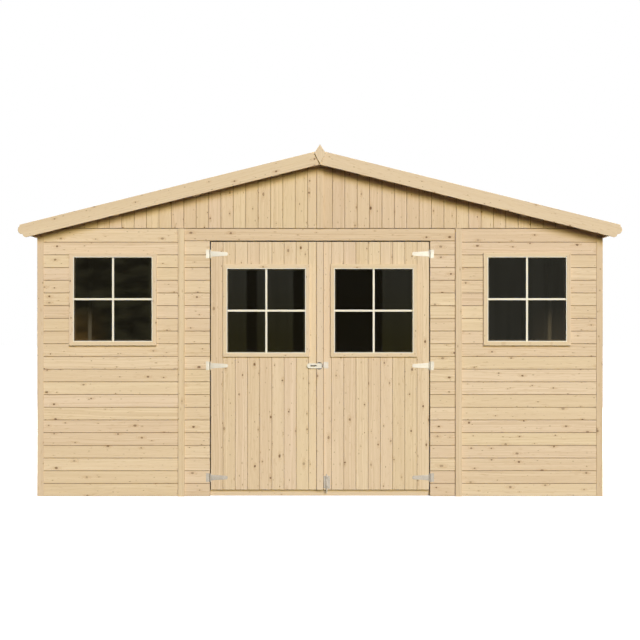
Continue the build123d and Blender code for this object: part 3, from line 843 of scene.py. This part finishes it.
# %% Eased copies
def eased(nodes, ease, bend=30.0):
    """A bmesh of CAD nodes with their sharp edges bevelled."""
    bm = bmesh.new()
    for node in nodes:
        bm.from_mesh(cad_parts[node].data)
    bmesh.ops.remove_doubles(bm, verts=bm.verts, dist=1e-5)
    bmesh.ops.dissolve_limit(bm, angle_limit=math.radians(1), verts=bm.verts, edges=bm.edges)
    sharp = [edge for edge in bm.edges if edge.calc_face_angle(0.0) > math.radians(bend)]
    bmesh.ops.bevel(bm, geom=sharp, offset=ease, segments=2, profile=0.5, affect="EDGES",
                    material=-1)
    return bm


plain_parts = (
    ("bearers", ["floor_bearers"], "pine_battens", pine_battens),
    ("sill_board", ["door_sill"], "pine_trim", pine_trim),
    ("corner_boards", ["corner_strips"], "pine_trim", pine_strip),
    ("cover_boards", ["cover_strips"], "pine_trim", pine_strip),
    ("gable_joint_boards", ["gable_strips"], "pine_trim", pine_strip),
    ("purlin_bars", ["purlins"], "pine_battens", pine_battens),
    ("wall_plates", ["eaves_plates"], "pine_battens", pine_battens),
    ("eaves_boards", ["eaves_fascias"], "pine_trim", pine_trim),
    ("verge_boards", ["bargeboards_front", "bargeboards_back"], "pine_trim", pine_trim),
    ("finial_boards", ["finials"], "pine_trim", pine_trim),
)
meeting_cover = 0.0040
for name, nodes, slot, material in plain_parts:
    piece(name, eased(nodes, arris), "shed", slot, material, *nodes)
low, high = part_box("meeting_strip")
bm = bmesh.new()
plank(bm, low, high + X * meeting_cover)
piece("meeting_board", bm, "left_door", "pine_trim", pine_trim, "meeting_strip")

# %% [markdown]
# ## Windows
# A window is a box of lining boards in the hole, a flat trim on the outside whose corners are
# mitred, thin beads that hold the pane from inside, and a cross of pale glazing bars on each
# side of the glass. The four trim boards share one rule: a trapezium from the outer corner to
# the inner corner, pushed back by the board's thickness.

# %% Windows
bar_wide = 0.0145
border = 0.006
bar_deep = 0.008
bead_wide = 0.010
bead_deep = 0.012

cream, tree, shader = new_material("cream_paint")
place = put(tree, "ShaderNodeTexCoord").outputs["Object"]
brushed = noise(tree, place, 160.0, 3.0)
tree.links.new(blended(tree, brushed, colour(222, 212, 188), colour(230, 221, 198)),
               shader.inputs["Base Color"])
tree.links.new(span(tree, brushed, 0.2, 0.8, 0.42, 0.55), shader.inputs["Roughness"])
bump = put(tree, "ShaderNodeBump", {"Height": brushed, "Strength": 0.15, "Distance": 0.0004})
tree.links.new(bump.outputs["Normal"], shader.inputs["Normal"])


def mitred_trim(bm, outer_low, outer_high, inner_low, inner_high, front, back, nosing):
    """Four boards round an opening, mitred; the foot board stands proud by the nosing."""
    outer = [(outer_low.x, outer_low.z), (outer_high.x, outer_low.z),
             (outer_high.x, outer_high.z), (outer_low.x, outer_high.z)]
    opening = [(inner_low.x, inner_low.z), (inner_high.x, inner_low.z),
               (inner_high.x, inner_high.z), (inner_low.x, inner_high.z)]
    for i in range(4):
        after = (i + 1) % 4
        corners = (outer[i], outer[after], opening[after], opening[i])
        face = front - (nosing if i == 0 else 0)
        faces = extruded(bm, [(x, face, z) for x, z in corners], (0, back - face, 0))
        bmesh.ops.bevel(bm, geom=list(faces[0].edges), offset=arris, segments=2, profile=0.5,
                        affect="EDGES", material=-1)


def ring_of_planks(bm, low, high, wide, front, back):
    """Four planks inside an opening: head and foot run through, the sides stand between."""
    for foot, head in ((low.z, low.z + wide), (high.z - wide, high.z)):
        plank(bm, (low.x, front, foot), (high.x, back, head), ease=0.001)
    for start, end in ((low.x, low.x + wide), (high.x - wide, high.x)):
        plank(bm, (start, front, low.z + wide), (end, back, high.z - wide), ease=0.001)


def window(word, body, frame_node, glass_low, glass_high, wall_face, nosing):
    trim_low, trim_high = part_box(frame_node)
    opening_low = Vector((glass_low.x - 0.0003, 0, glass_low.z - 0.0003))
    opening_high = Vector((glass_high.x + 0.0003, 0, glass_high.z + 0.0003))
    bm = bmesh.new()
    edge = Vector((border, 0, border))
    mitred_trim(bm, trim_low, trim_high, opening_low - edge, opening_high + edge, trim_low.y,
                wall_face, nosing)
    grow = Vector((lining, 0, lining))
    ring_of_planks(bm, opening_low - grow, opening_high + grow, lining, wall_face, trim_high.y)
    ring_of_planks(bm, opening_low, opening_high, bead_wide, glass_high.y,
                   glass_high.y + bead_deep)
    piece(f"{word}_timber", bm, body, "pine_trim", pine_trim, frame_node)

    bm = bmesh.new()
    middle = (glass_low + glass_high) / 2
    half = bar_wide / 2
    for front, back, margin in ((glass_low.y - bar_deep, glass_low.y, 0.0),
                                (glass_high.y, glass_high.y + bar_deep, bead_wide)):
        plank(bm, (opening_low.x + margin, front, middle.z - half),
              (opening_high.x - margin, back, middle.z + half), ease=0.002)
        for foot, head in ((opening_low.z + margin, middle.z - half),
                           (middle.z + half, opening_high.z - margin)):
            plank(bm, (middle.x - half, front, foot), (middle.x + half, back, head), ease=0.002)
    ring_of_planks(bm, opening_low - edge, opening_high + edge, border, trim_low.y + 0.002,
                   wall_face)
    piece(f"{word}_bars", bm, body, "pine_trim", cream)


wall_face = gable_low.y
for side, word in ((-1, "left"), (1, "right")):
    window(f"{word}_window", "shed", f"window_frame_{word}", *pane_at(side, wall=True), wall_face,
           nosing=0.014)
    window(f"{word}_door_window", f"{word}_door", f"{word}_door_window",
           *pane_at(side, wall=False), wall_face, nosing=0.004)

# %% [markdown]
# ## Glass
# The panes stay the CAD's own. They are a dark, smooth glass, mostly opaque, so a lit batten
# inside can just be made out. Their colour is painted reflection and painted light: dim tall
# shapes with crisp upright edges are painted reflections, as are leafy blotches on the left
# window; low on the panes a warm patch and a pale glow are painted sunlight on the walls
# inside, two narrow pale marks are painted lit corner posts, and the painted reflection turns
# olive towards the ground. Noise would put the shapes anywhere; a few upright bands, each a
# place, half a width and a depth, say it plainly, and a little noise breaks them up.

# %% Glass
glass, tree, shader = new_material("dark_glass")
place = put(tree, "ShaderNodeTexCoord").outputs["Object"]
apart = put(tree, "ShaderNodeSeparateXYZ", {0: place}).outputs
drawn = put(tree, "ShaderNodeMapping", {"Vector": place, "Scale": (22.0, 1.0, 1.6)})
wave = noise(tree, drawn.outputs["Vector"], 1.0, 2.0)
spread = put(tree, "ShaderNodeMapping", {"Vector": place, "Scale": (6.0, 1.0, 15.0)})
leaves = noise(tree, spread.outputs["Vector"], 1.0, 4.0)
sway = noise(tree, vector(tree, 0.0, 0.0, apart[2]), 2.0, 1.0)
swayed = reckon(tree, "MULTIPLY_ADD", sway, 0.03, apart[0])
tone = span(tree, wave, 0.3, 0.7, 0.74, 1.06)
# painted reflection: dark upright bands, each a middle, half a width and a depth
reflected_bands = ((-1.46, 0.27, 0.55), (-0.465, 0.037, 0.95), (-0.138, 0.036, 0.95),
              (0.285, 0.170, 0.95))


def within(middle, half, soft):
    """1 inside an upright band of the panes, 0 outside."""
    beside = reckon(tree, "ABSOLUTE", reckon(tree, "SUBTRACT", swayed, middle))
    return span(tree, beside, half - soft, half + soft, 1.0, 0.0)


for middle, half, depth in reflected_bands:
    band = within(middle, half, 0.008)
    tone = reckon(tree, "MULTIPLY", tone,
                  reckon(tree, "MULTIPLY_ADD", band, -depth, 1.0))
# painted reflection of foliage: leafy blotches over the left window
left_window = within(-1.46, 0.40, 0.01)
reflected_branches = reckon(tree, "MULTIPLY", left_window, span(tree, leaves, 0.38, 0.72, -0.20, 0.85))
tone = reckon(tree, "ADD", tone, reflected_branches)
# painted light: a warm sunlit patch low on the left window, broken up by leaves
low_sun = span(tree, apart[2], 1.36, 1.10)
painted_sun_patch = reckon(tree, "MULTIPLY", span(tree, apart[0], -1.72, -1.47, 1.0, 0.0), low_sun)
painted_sun_patch = reckon(tree, "MULTIPLY", painted_sun_patch, span(tree, leaves, 0.35, 0.62, 0.35, 1.0))
# painted light: a pale glow low on the right window
glow = reckon(tree, "MULTIPLY", span(tree, apart[0], 1.44, 1.60, 0.0, 0.35), low_sun)
# painted light: two narrow pale marks, lit corner posts seen through the panes, pointed at the top
posts = reckon(tree, "ADD", within(-1.604, 0.012, 0.006), within(1.634, 0.012, 0.006))
posts = reckon(tree, "MULTIPLY", posts, span(tree, apart[2], 1.34, 1.16))
# the painted reflection's light tone turns olive towards the ground, and olive all over the left
# window
olive = reckon(tree, "MULTIPLY", span(tree, apart[2], 1.65, 0.95), within(0.0, 0.8, 0.1))
olive = reckon(tree, "MULTIPLY_ADD", left_window, 0.6, olive)
lit = blended(tree, olive, colour(42, 41, 34), colour(35, 32, 9))
painted_view = blended(tree, tone, colour(9, 6, 0), lit)
painted_view = blended(tree, glow, painted_view, colour(74, 66, 52))
painted_view = blended(tree, painted_sun_patch, painted_view, colour(80, 60, 26))
tree.links.new(blended(tree, posts, painted_view, colour(84, 76, 58)),
               shader.inputs["Base Color"])
shader.inputs["Alpha"].default_value = 0.78
shader.inputs["Roughness"].default_value = 0.04
shader.inputs["Specular IOR Level"].default_value = 0.06
for node in ("window_glass", "left_door_glass", "right_door_glass"):
    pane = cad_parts[node]
    pane.data.materials.clear()
    pane.data.materials.append(glass)
print("panes:", 4)

# %% [markdown]
# ## Doors
# Each door is nine or so upright boards on a ledged frame with a brace. The boards are counted
# from the hinge edge, so the last one, under the meeting strip, takes up what is left.

# %% Doors
door_pitch = 0.086
door_first = 0.086
frame_inset = 0.010


def braced_frame(bm, low, high, hinge_side, sill, lintel):
    """Stiles, four rails and a brace, a little smaller than the door's boards."""
    near, far = low.x + frame_inset, high.x - frame_inset
    foot, head = low.z + frame_inset, high.z - frame_inset
    depth = (high.y, high.y + batten_deep)
    framing(bm, [(near, near + batten_wide), (far - batten_wide, far)],
            rails_at(foot, sill - batten_wide, lintel, head - batten_wide), depth, foot, head)
    start, stop = (near, far) if hinge_side < 0 else (far, near)
    step = math.copysign(batten_wide, stop - start)
    field = (foot + batten_wide, sill - batten_wide)
    corners = [(start + step, field[0]), (start + 2 * step, field[0]),
               (stop - step, field[1]), (stop - 2 * step, field[1])]
    extruded(bm, [(x, depth[0], z) for x, z in corners], (0, batten_deep, 0))


for side, word in ((-1, "left"), (1, "right")):
    body = f"{word}_door"
    low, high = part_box(f"{word}_door_boards")
    hinge_edge = low.x if side < 0 else high.x
    bm = bmesh.new()
    lay_boards(bm, even_lines(high.x - low.x, door_pitch, door_first),
               Vector((hinge_edge, low.y, low.z)), Z, -X * side, Y, high.z - low.z,
               gap=door_joint)
    glass_low, glass_high = pane_at(side, wall=False)
    hole = bmesh.new()
    window_cutter(hole, f"{word}_door_window", glass_low, glass_high)
    piece(f"{word}_door_planks", bm, body, "pine_boards", pine_boards, f"{word}_door_boards",
          cutter=hole, along=(0, 0, 1))
    bm = bmesh.new()
    braced_frame(bm, low, high, side, glass_low.z - lining, glass_high.z + lining)
    piece(f"{word}_door_battens", bm, body, "pine_battens", pine_battens, f"{word}_door_frame")

# %% [markdown]
# ## Roof boards
# The roof boards run down the slope with their face side under, where it shows from inside and
# at the eaves. They are laid long and sawn upright at the ridge and at the eaves.

# %% Roof boards
verge = deck_high.y
rows = even_lines(2 * verge, course)
for side, word in ((-1, "left"), (1, "right")):
    down = Vector((side * math.cos(slope), 0, -math.sin(slope)))
    up = Vector((side * math.sin(slope), 0, math.cos(slope)))
    bm = bmesh.new()
    start = Vector((0, -verge, deck_apex)) - down * 0.02
    lay_boards(bm, rows, start, down, Y, up, deck_high.x / math.cos(slope) + 0.04,
               gap=inside_joint)
    for place, direction in ((0.0, -side), (side * deck_high.x, side)):
        bmesh.ops.bisect_plane(bm, geom=bm.verts[:] + bm.edges[:] + bm.faces[:],
                               plane_co=(place, 0, 0), plane_no=(direction, 0, 0),
                               clear_outer=True)
        bmesh.ops.holes_fill(bm, edges=[edge for edge in bm.edges if edge.is_boundary], sides=0)
    piece(f"roof_boards_{word}", bm, "shed", "pine_battens", pine_battens, f"roof_deck_{word}",
          along=tuple(down))

# %% [markdown]
# ## Roofing felt
# Felt comes in metre-wide rolls, laid from the eaves up so that each sheet laps over the one
# below, with a strip folded over the ridge and flat-headed nails along each lap. A sheet is a
# thin outline across the slope, pushed from front to back: it lies on the boards, then steps
# up at its lower edge by the thickness of the sheet it covers.

# %% Roofing felt
felt_thick = 0.0018
felt_lap = 0.08
felt_rows = 3
ridge_strip = 0.15
eaves_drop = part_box("roof_felt")[0].z
eaves_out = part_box("roof_felt")[1].x
nail_pitch = 0.075

felt, tree, shader = new_material("roofing_felt")
place = put(tree, "ShaderNodeTexCoord").outputs["Object"]
grit = put(tree, "ShaderNodeTexVoronoi", {"Vector": place, "Scale": 700.0})
worn = noise(tree, place, 3.0, 4.0)
grain_colour = put(tree, "ShaderNodeSeparateColor", {0: grit.outputs["Color"]}).outputs[0]
slate = blended(tree, grain_colour, colour(58, 60, 60), colour(104, 106, 104))
tree.links.new(blended(tree, reckon(tree, "MULTIPLY", worn, 0.35), slate, colour(82, 80, 74)),
               shader.inputs["Base Color"])
shader.inputs["Roughness"].default_value = 0.92
shader.inputs["Specular IOR Level"].default_value = 0.2
bump = put(tree, "ShaderNodeBump",
           {"Height": grit.outputs["Distance"], "Strength": 0.5, "Distance": 0.001})
tree.links.new(bump.outputs["Normal"], shader.inputs["Normal"])


def felt_sheet(bm, side, start, end, step, drip=False):
    """A sheet from start down to end, raised by step along its lower lap."""
    lift = felt_thick + 0.0001
    stations = [(start, 0.0), (end - felt_lap - 0.01, 0.0), (end - felt_lap, step * lift),
                (end, step * lift)]
    if drip:
        stations = [(start, 0.0), (end, 0.0)]
    lower = [on_slope(side, along, -thickness - raised) for along, raised in stations]
    upper = [on_slope(side, along, -thickness - raised - felt_thick)
             for along, raised in stations]
    if drip:
        edge = side * (eaves_out - felt_thick)
        lower[-1] = (edge, deck_apex + thickness / math.cos(slope) - fall * abs(edge))
        upper[-1] = (side * eaves_out,
                     lower[-1][1] + felt_thick / math.cos(slope) - fall * felt_thick)
        lower.append((edge, eaves_drop))
        upper.append((side * eaves_out, eaves_drop))
    outline = lower + upper[::-1]
    extruded(bm, [(x, -verge, z) for x, z in outline], (0, 2 * verge, 0))


bm = bmesh.new()
slope_length = deck_high.x / math.cos(slope)
cover = (slope_length - 0.02) / felt_rows
laps = []
for side in (-1, 1):
    felt_sheet(bm, side, slope_length - cover - felt_lap, slope_length, 0, drip=True)
    for row in range(1, felt_rows):
        low_edge = slope_length - row * cover
        felt_sheet(bm, side, max(low_edge - cover - felt_lap, 0.003), low_edge, 1)
        laps.append((side, low_edge))
ridge = []
for depth in (felt_thick + 0.0002, 2 * felt_thick + 0.0002):
    apex = (0.0, deck_apex + (thickness + depth) / math.cos(slope))
    ridge.append([on_slope(-1, ridge_strip, -thickness - depth), apex,
                  on_slope(1, ridge_strip, -thickness - depth)])
extruded(bm, [(x, -verge, z) for x, z in ridge[0] + ridge[1][::-1]], (0, 2 * verge, 0))
piece("felt_sheets", bm, "shed", "roofing_felt", felt, "roof_felt")

# %% [markdown]
# ## Screws and nails
# One screw head is made with care: a low cone whose top has a cross cut by a Boolean. Every
# other screw is a copy of its mesh, turned to face out of the wood. Felt nails are plain
# flat heads, because there are hundreds of them.

# %% Screws and nails
def fastener(name, radius, height, recess):
    """A head that stands on the plane z = 0; recess is the depth of its cross, or 0."""
    bm = bmesh.new()
    bmesh.ops.create_cone(bm, cap_ends=True, segments=12, radius1=radius, radius2=radius * 0.72,
                          depth=height)
    bmesh.ops.translate(bm, vec=(0, 0, height / 2), verts=bm.verts)
    made = as_object(name, bm)
    if recess:
        cross = bmesh.new()
        arm, half = radius * 0.5, radius * 0.13
        outline = [(half, half), (arm, half), (arm, -half), (half, -half), (half, -arm),
                   (-half, -arm), (-half, -half), (-arm, -half), (-arm, half), (-half, half),
                   (-half, arm), (half, arm)]
        extruded(cross, [(x, y, height - recess) for x, y in outline], (0, 0, 2 * recess))
        saw(made, cross)
    mesh = made.data
    bpy.data.objects.remove(made)
    return mesh


screw = fastener("screw_head", 0.0036, 0.0010, 0.0006)
small_screw = fastener("small_screw_head", 0.0030, 0.0009, 0.0005)
brad = fastener("brad_head", 0.0016, 0.0004, 0)
clout = fastener("clout_head", 0.0045, 0.0010, 0)


def drive(bm, head, place, facing):
    """Adds a head at a place, facing along a vector."""
    turn = Vector(facing).to_track_quat("Z", "Y").to_matrix().to_4x4()
    copy = head.copy()
    copy.transform(Matrix.Translation(place) @ turn)
    bm.from_mesh(copy)
    bpy.data.meshes.remove(copy)


def rounded_metal(made, angle=20.0):
    """Smooth shading on turned surfaces, with the sharp edges kept."""
    made.data.shade_smooth()
    made.data.set_sharp_from_angle(angle=math.radians(angle))


# %% [markdown]
# ## Metal
# The upper fittings are bright zinc with a creamy passivated coat; the lowest hinges and the
# bolt, which stand in the splash from the ground, have dulled to grey. Both are one recipe:
# a metal whose colour and roughness drift with a coarse and a fine noise.

# %% Metal
pin_x = (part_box("door_sill")[1].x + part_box("right_door_boards")[1].x) / 2


def zinc(name, light, dark, rough, low_fade=0.0):
    """Zinc between two tones of colour; it fades towards the ground, and painted shade darkens it
    beside the pins.
    """
    material, tree, shader = new_material(name)
    place = put(tree, "ShaderNodeTexCoord").outputs["Object"]
    apart = put(tree, "ShaderNodeSeparateXYZ", {0: place}).outputs
    spangle = put(tree, "ShaderNodeTexVoronoi", {"Vector": place, "Scale": 260.0})
    shade = put(tree, "ShaderNodeSeparateColor", {0: spangle.outputs["Color"]}).outputs[0]
    cloud = noise(tree, place, 45.0, 3.0)
    mixed = reckon(tree, "MULTIPLY_ADD", shade, 0.35, reckon(tree, "MULTIPLY", cloud, 0.65))
    coat = blended(tree, mixed, colour(*light), colour(*dark))
    coat = blended(tree, span(tree, apart[2], 0.95, 1.65, low_fade, 0.0), coat,
                   colour(160, 148, 126))
    # painted shade: a narrow band beside each hinge pin darkens towards grey-brown, where the
    # knuckles shade the plates
    beside = reckon(tree, "SUBTRACT", reckon(tree, "ABSOLUTE", apart[0]), pin_x + 0.003)
    pin_shade = span(tree, reckon(tree, "ABSOLUTE", beside), 0.003, 0.0065, 0.55, 0.0)
    tree.links.new(blended(tree, pin_shade, coat, colour(112, 104, 90)), shader.inputs["Base Color"])
    tree.links.new(span(tree, cloud, 0.25, 0.75, rough - 0.06, rough + 0.08),
                   shader.inputs["Roughness"])
    shader.inputs["Metallic"].default_value = 0.15
    bump = put(tree, "ShaderNodeBump", {"Height": cloud, "Strength": 0.2, "Distance": 0.0005})
    tree.links.new(bump.outputs["Normal"], shader.inputs["Normal"])
    return material


bright_zinc = zinc("bright_zinc", (218, 211, 193), (201, 193, 174), 0.5, low_fade=0.20)
worn_zinc = zinc("worn_zinc", (204, 195, 179), (190, 180, 162), 0.55)
dull_zinc = zinc("dull_zinc", (186, 176, 160), (150, 141, 128), 0.55)
# near-black steel for the hasp's staple and the disc under its arm; it also stands for shade in
# the slot and below the arm
dark_steel_and_shade = zinc("dark_steel_and_shade", (92, 84, 70), (66, 60, 50), 0.5)

# %% [markdown]
# ## Hinges
# A T-hinge is an upright plate on the wall, a pin in knuckles, and a tapered strap on the door.
# Their shapes come from the CAD with softened edges. The lowest pair is a separate piece,
# because its finish differs: faces above the cut height are deleted from one copy, and faces
# below it from the other.

# %% Hinges
hinge_split = 0.5
metal_ease = 0.0004


def part_of(bm, low_part):
    """Keeps only the solids below, or above, the split height."""
    gone = [face for face in bm.faces
            if (face.calc_center_median().z < hinge_split) != low_part]
    bmesh.ops.delete(bm, geom=gone, context="FACES")
    return bm


plate_low, plate_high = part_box("hinge_plates")
strap_low, strap_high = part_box("left_door_straps")
metal_face = wall_face - 0.002
plate_middle = -(plate_low.x * -1 + -strap_low.x) / 2
half_plate = 0.030
hinge_heights = (plate_low.z + half_plate, (plate_low.z + plate_high.z) / 2,
                 plate_high.z - half_plate)
strap_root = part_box("left_door_boards")[0].x + 0.002
strap_screws = (0.018, 0.058, 0.100)
strap_reach = abs(strap_root) - abs(strap_high.x)
root_scale, tip_scale = 0.93, 1.42
print("hinges at", [round(height, 3) for height in hinge_heights])

for low_part, word, finish in ((True, "low", dull_zinc), (False, "upper", bright_zinc)):
    heights = [height for height in hinge_heights if (height < hinge_split) == low_part]
    bm = part_of(eased(["hinge_plates"], metal_ease, 40.0), low_part)
    for height in heights:
        for side in (-1, 1):
            middle = side * (abs(plate_low.x) + inner) / 2
            for lift in (-0.021, 0.021):
                drive(bm, screw, (middle, metal_face, height + lift), -Y)
    rounded_metal(piece(f"{word}_hinge_leaves", bm, "shed", "zinc_steel", finish,
                        "hinge_plates"))
    for side, door in ((-1, "left"), (1, "right")):
        bm = part_of(eased([f"{door}_door_straps"], metal_ease, 40.0), low_part)
        for vertex in bm.verts:
            along = (abs(strap_root) - abs(vertex.co.x)) / strap_reach
            if along > 0:
                height = min(hinge_heights, key=lambda place: abs(vertex.co.z - place))
                scale = root_scale + (tip_scale - root_scale) * along
                vertex.co.z = height + (vertex.co.z - height) * scale
        for height in heights:
            for along in strap_screws:
                drive(bm, small_screw, (side * (abs(strap_root) - along), metal_face, height), -Y)
        rounded_metal(piece(f"{door}_{word}_straps", bm, f"{door}_door", "zinc_steel", finish,
                            f"{door}_door_straps"))

# %% [markdown]
# ## Hasp and floor bolt
# These are small, so their CAD shapes are kept with softened edges and their screws are added.

# %% Hasp and floor bolt
def fitting(name, node, body, finish, screws):
    bm = eased([node], metal_ease, 40.0)
    for place in screws:
        drive(bm, small_screw, place, -Y)
    rounded_metal(piece(name, bm, body, "zinc_steel", finish, node))


low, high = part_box("hasp_keeper")
inset = 0.008
fitting("hasp_plate", "hasp_keeper", "right_door", worn_zinc,
        [(x, metal_face, z) for x in (low.x + inset, high.x - inset)
         for z in (low.z + inset, high.z - inset)])
low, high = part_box("bolt_plate")
fitting("bolt_backplate", "bolt_plate", "right_door", dull_zinc,
        [(x, metal_face, z) for x in (low.x + inset, high.x - inset)
         for z in (low.z + inset, high.z - inset)])
bolt_end = 0.0275
bm = eased(["bolt_rod"], metal_ease, 40.0)
bmesh.ops.bisect_plane(bm, geom=bm.verts[:] + bm.edges[:] + bm.faces[:],
                       plane_co=(0, 0, bolt_end), plane_no=(0, 0, -1), clear_outer=True)
bmesh.ops.holes_fill(bm, edges=[edge for edge in bm.edges if edge.is_boundary], sides=0)
rounded_metal(piece("sliding_bolt", bm, "floor_bolt", "zinc_steel", worn_zinc, "bolt_rod"))

# %% [markdown]
# The hasp is two things that never touch: the slotted arm, and the staple that stands in its
# slot. They differ in finish, so one copy of the CAD mesh is taken apart: starting from the
# arm's free end, every face joined to it is collected, and one piece keeps those faces while
# the other keeps the rest. The staple's near-black steel also paints the shade inside the slot.
# A round plate of the same dark steel lies under the arm's hinge end: a dark spot above the arm,
# and painted shade below it.

# %% Hasp
def arm_faces(bm):
    """The faces of the solid that reaches furthest to the left."""
    first = min(bm.verts, key=lambda vertex: vertex.co.x).link_faces[0]
    found, waiting = {first}, [first]
    while waiting:
        for edge in waiting.pop().edges:
            for face in edge.link_faces:
                if face not in found:
                    found.add(face)
                    waiting.append(face)
    return found


low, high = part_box("hasp")
strip_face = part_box("meeting_strip")[0].y
hasp_middle = (low.z + high.z) / 2
arm_height = 0.88
dark_disc_radius = 0.026
dark_disc_x = -0.005
for word, keep_arm, finish in (("slotted_hasp", True, bright_zinc),
                               ("hasp_staple", False, dark_steel_and_shade)):
    bm = eased(["hasp"], metal_ease, 40.0)
    arm = arm_faces(bm)
    gone = [face for face in bm.faces if (face in arm) != keep_arm]
    bmesh.ops.delete(bm, geom=gone, context="FACES")
    for vertex in bm.verts:
        vertex.co.z = hasp_middle + (vertex.co.z - hasp_middle) * arm_height
    # the disc under the arm's hinge end: a dark spot above the arm, and painted shade below it
    if not keep_arm:
        disc = bmesh.ops.create_cone(bm, cap_ends=True, segments=40, radius1=dark_disc_radius,
                                     radius2=dark_disc_radius - 0.0012, depth=0.0016)["verts"]
        bmesh.ops.rotate(bm, matrix=Matrix.Rotation(math.radians(90), 3, "X"), verts=disc)
        bmesh.ops.translate(bm, vec=(dark_disc_x, strip_face - 0.0008, hasp_middle), verts=disc)
    rounded_metal(piece(word, bm, "left_door", "zinc_steel", finish, "hasp"))

# %% [markdown]
# ## Nails in the strips and the felt
# The cover strips and corner boards are nailed at even steps, the boards of the roof carry
# flat-headed felt nails a hand's width apart along each lap.

# %% Nails
strip_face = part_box("cover_strips")[0].y
nail_heights = [0.09 + 0.284 * step for step in range(7)]
bm = bmesh.new()
half_strip = 0.0225
for side in (-1, 1):
    for height in nail_heights:
        drive(bm, brad, (side * joint_x, strip_face, height), -Y)
        drive(bm, brad, (side * (high.x * 0 + 1.9675), strip_face, height), -Y)
piece("strip_nails", bm, "shed", "zinc_steel", dull_zinc)

bm = bmesh.new()
nails = int(2 * verge / nail_pitch)
for side, low_edge in laps:
    facing = Vector((side * math.sin(slope), 0, math.cos(slope)))
    x, z = on_slope(side, low_edge - 0.025, -thickness - 2 * felt_thick)
    for step in range(nails):
        drive(bm, clout, (x, -verge + (step + 0.5) * nail_pitch, z), facing)
for side in (-1, 1):
    facing = Vector((side * math.sin(slope), 0, math.cos(slope)))
    x, z = on_slope(side, ridge_strip - 0.02, -thickness - 2 * felt_thick)
    for step in range(nails):
        drive(bm, clout, (x, -verge + (step + 0.5) * nail_pitch, z), facing)
piece("felt_nails", bm, "shed", "zinc_steel", dull_zinc)
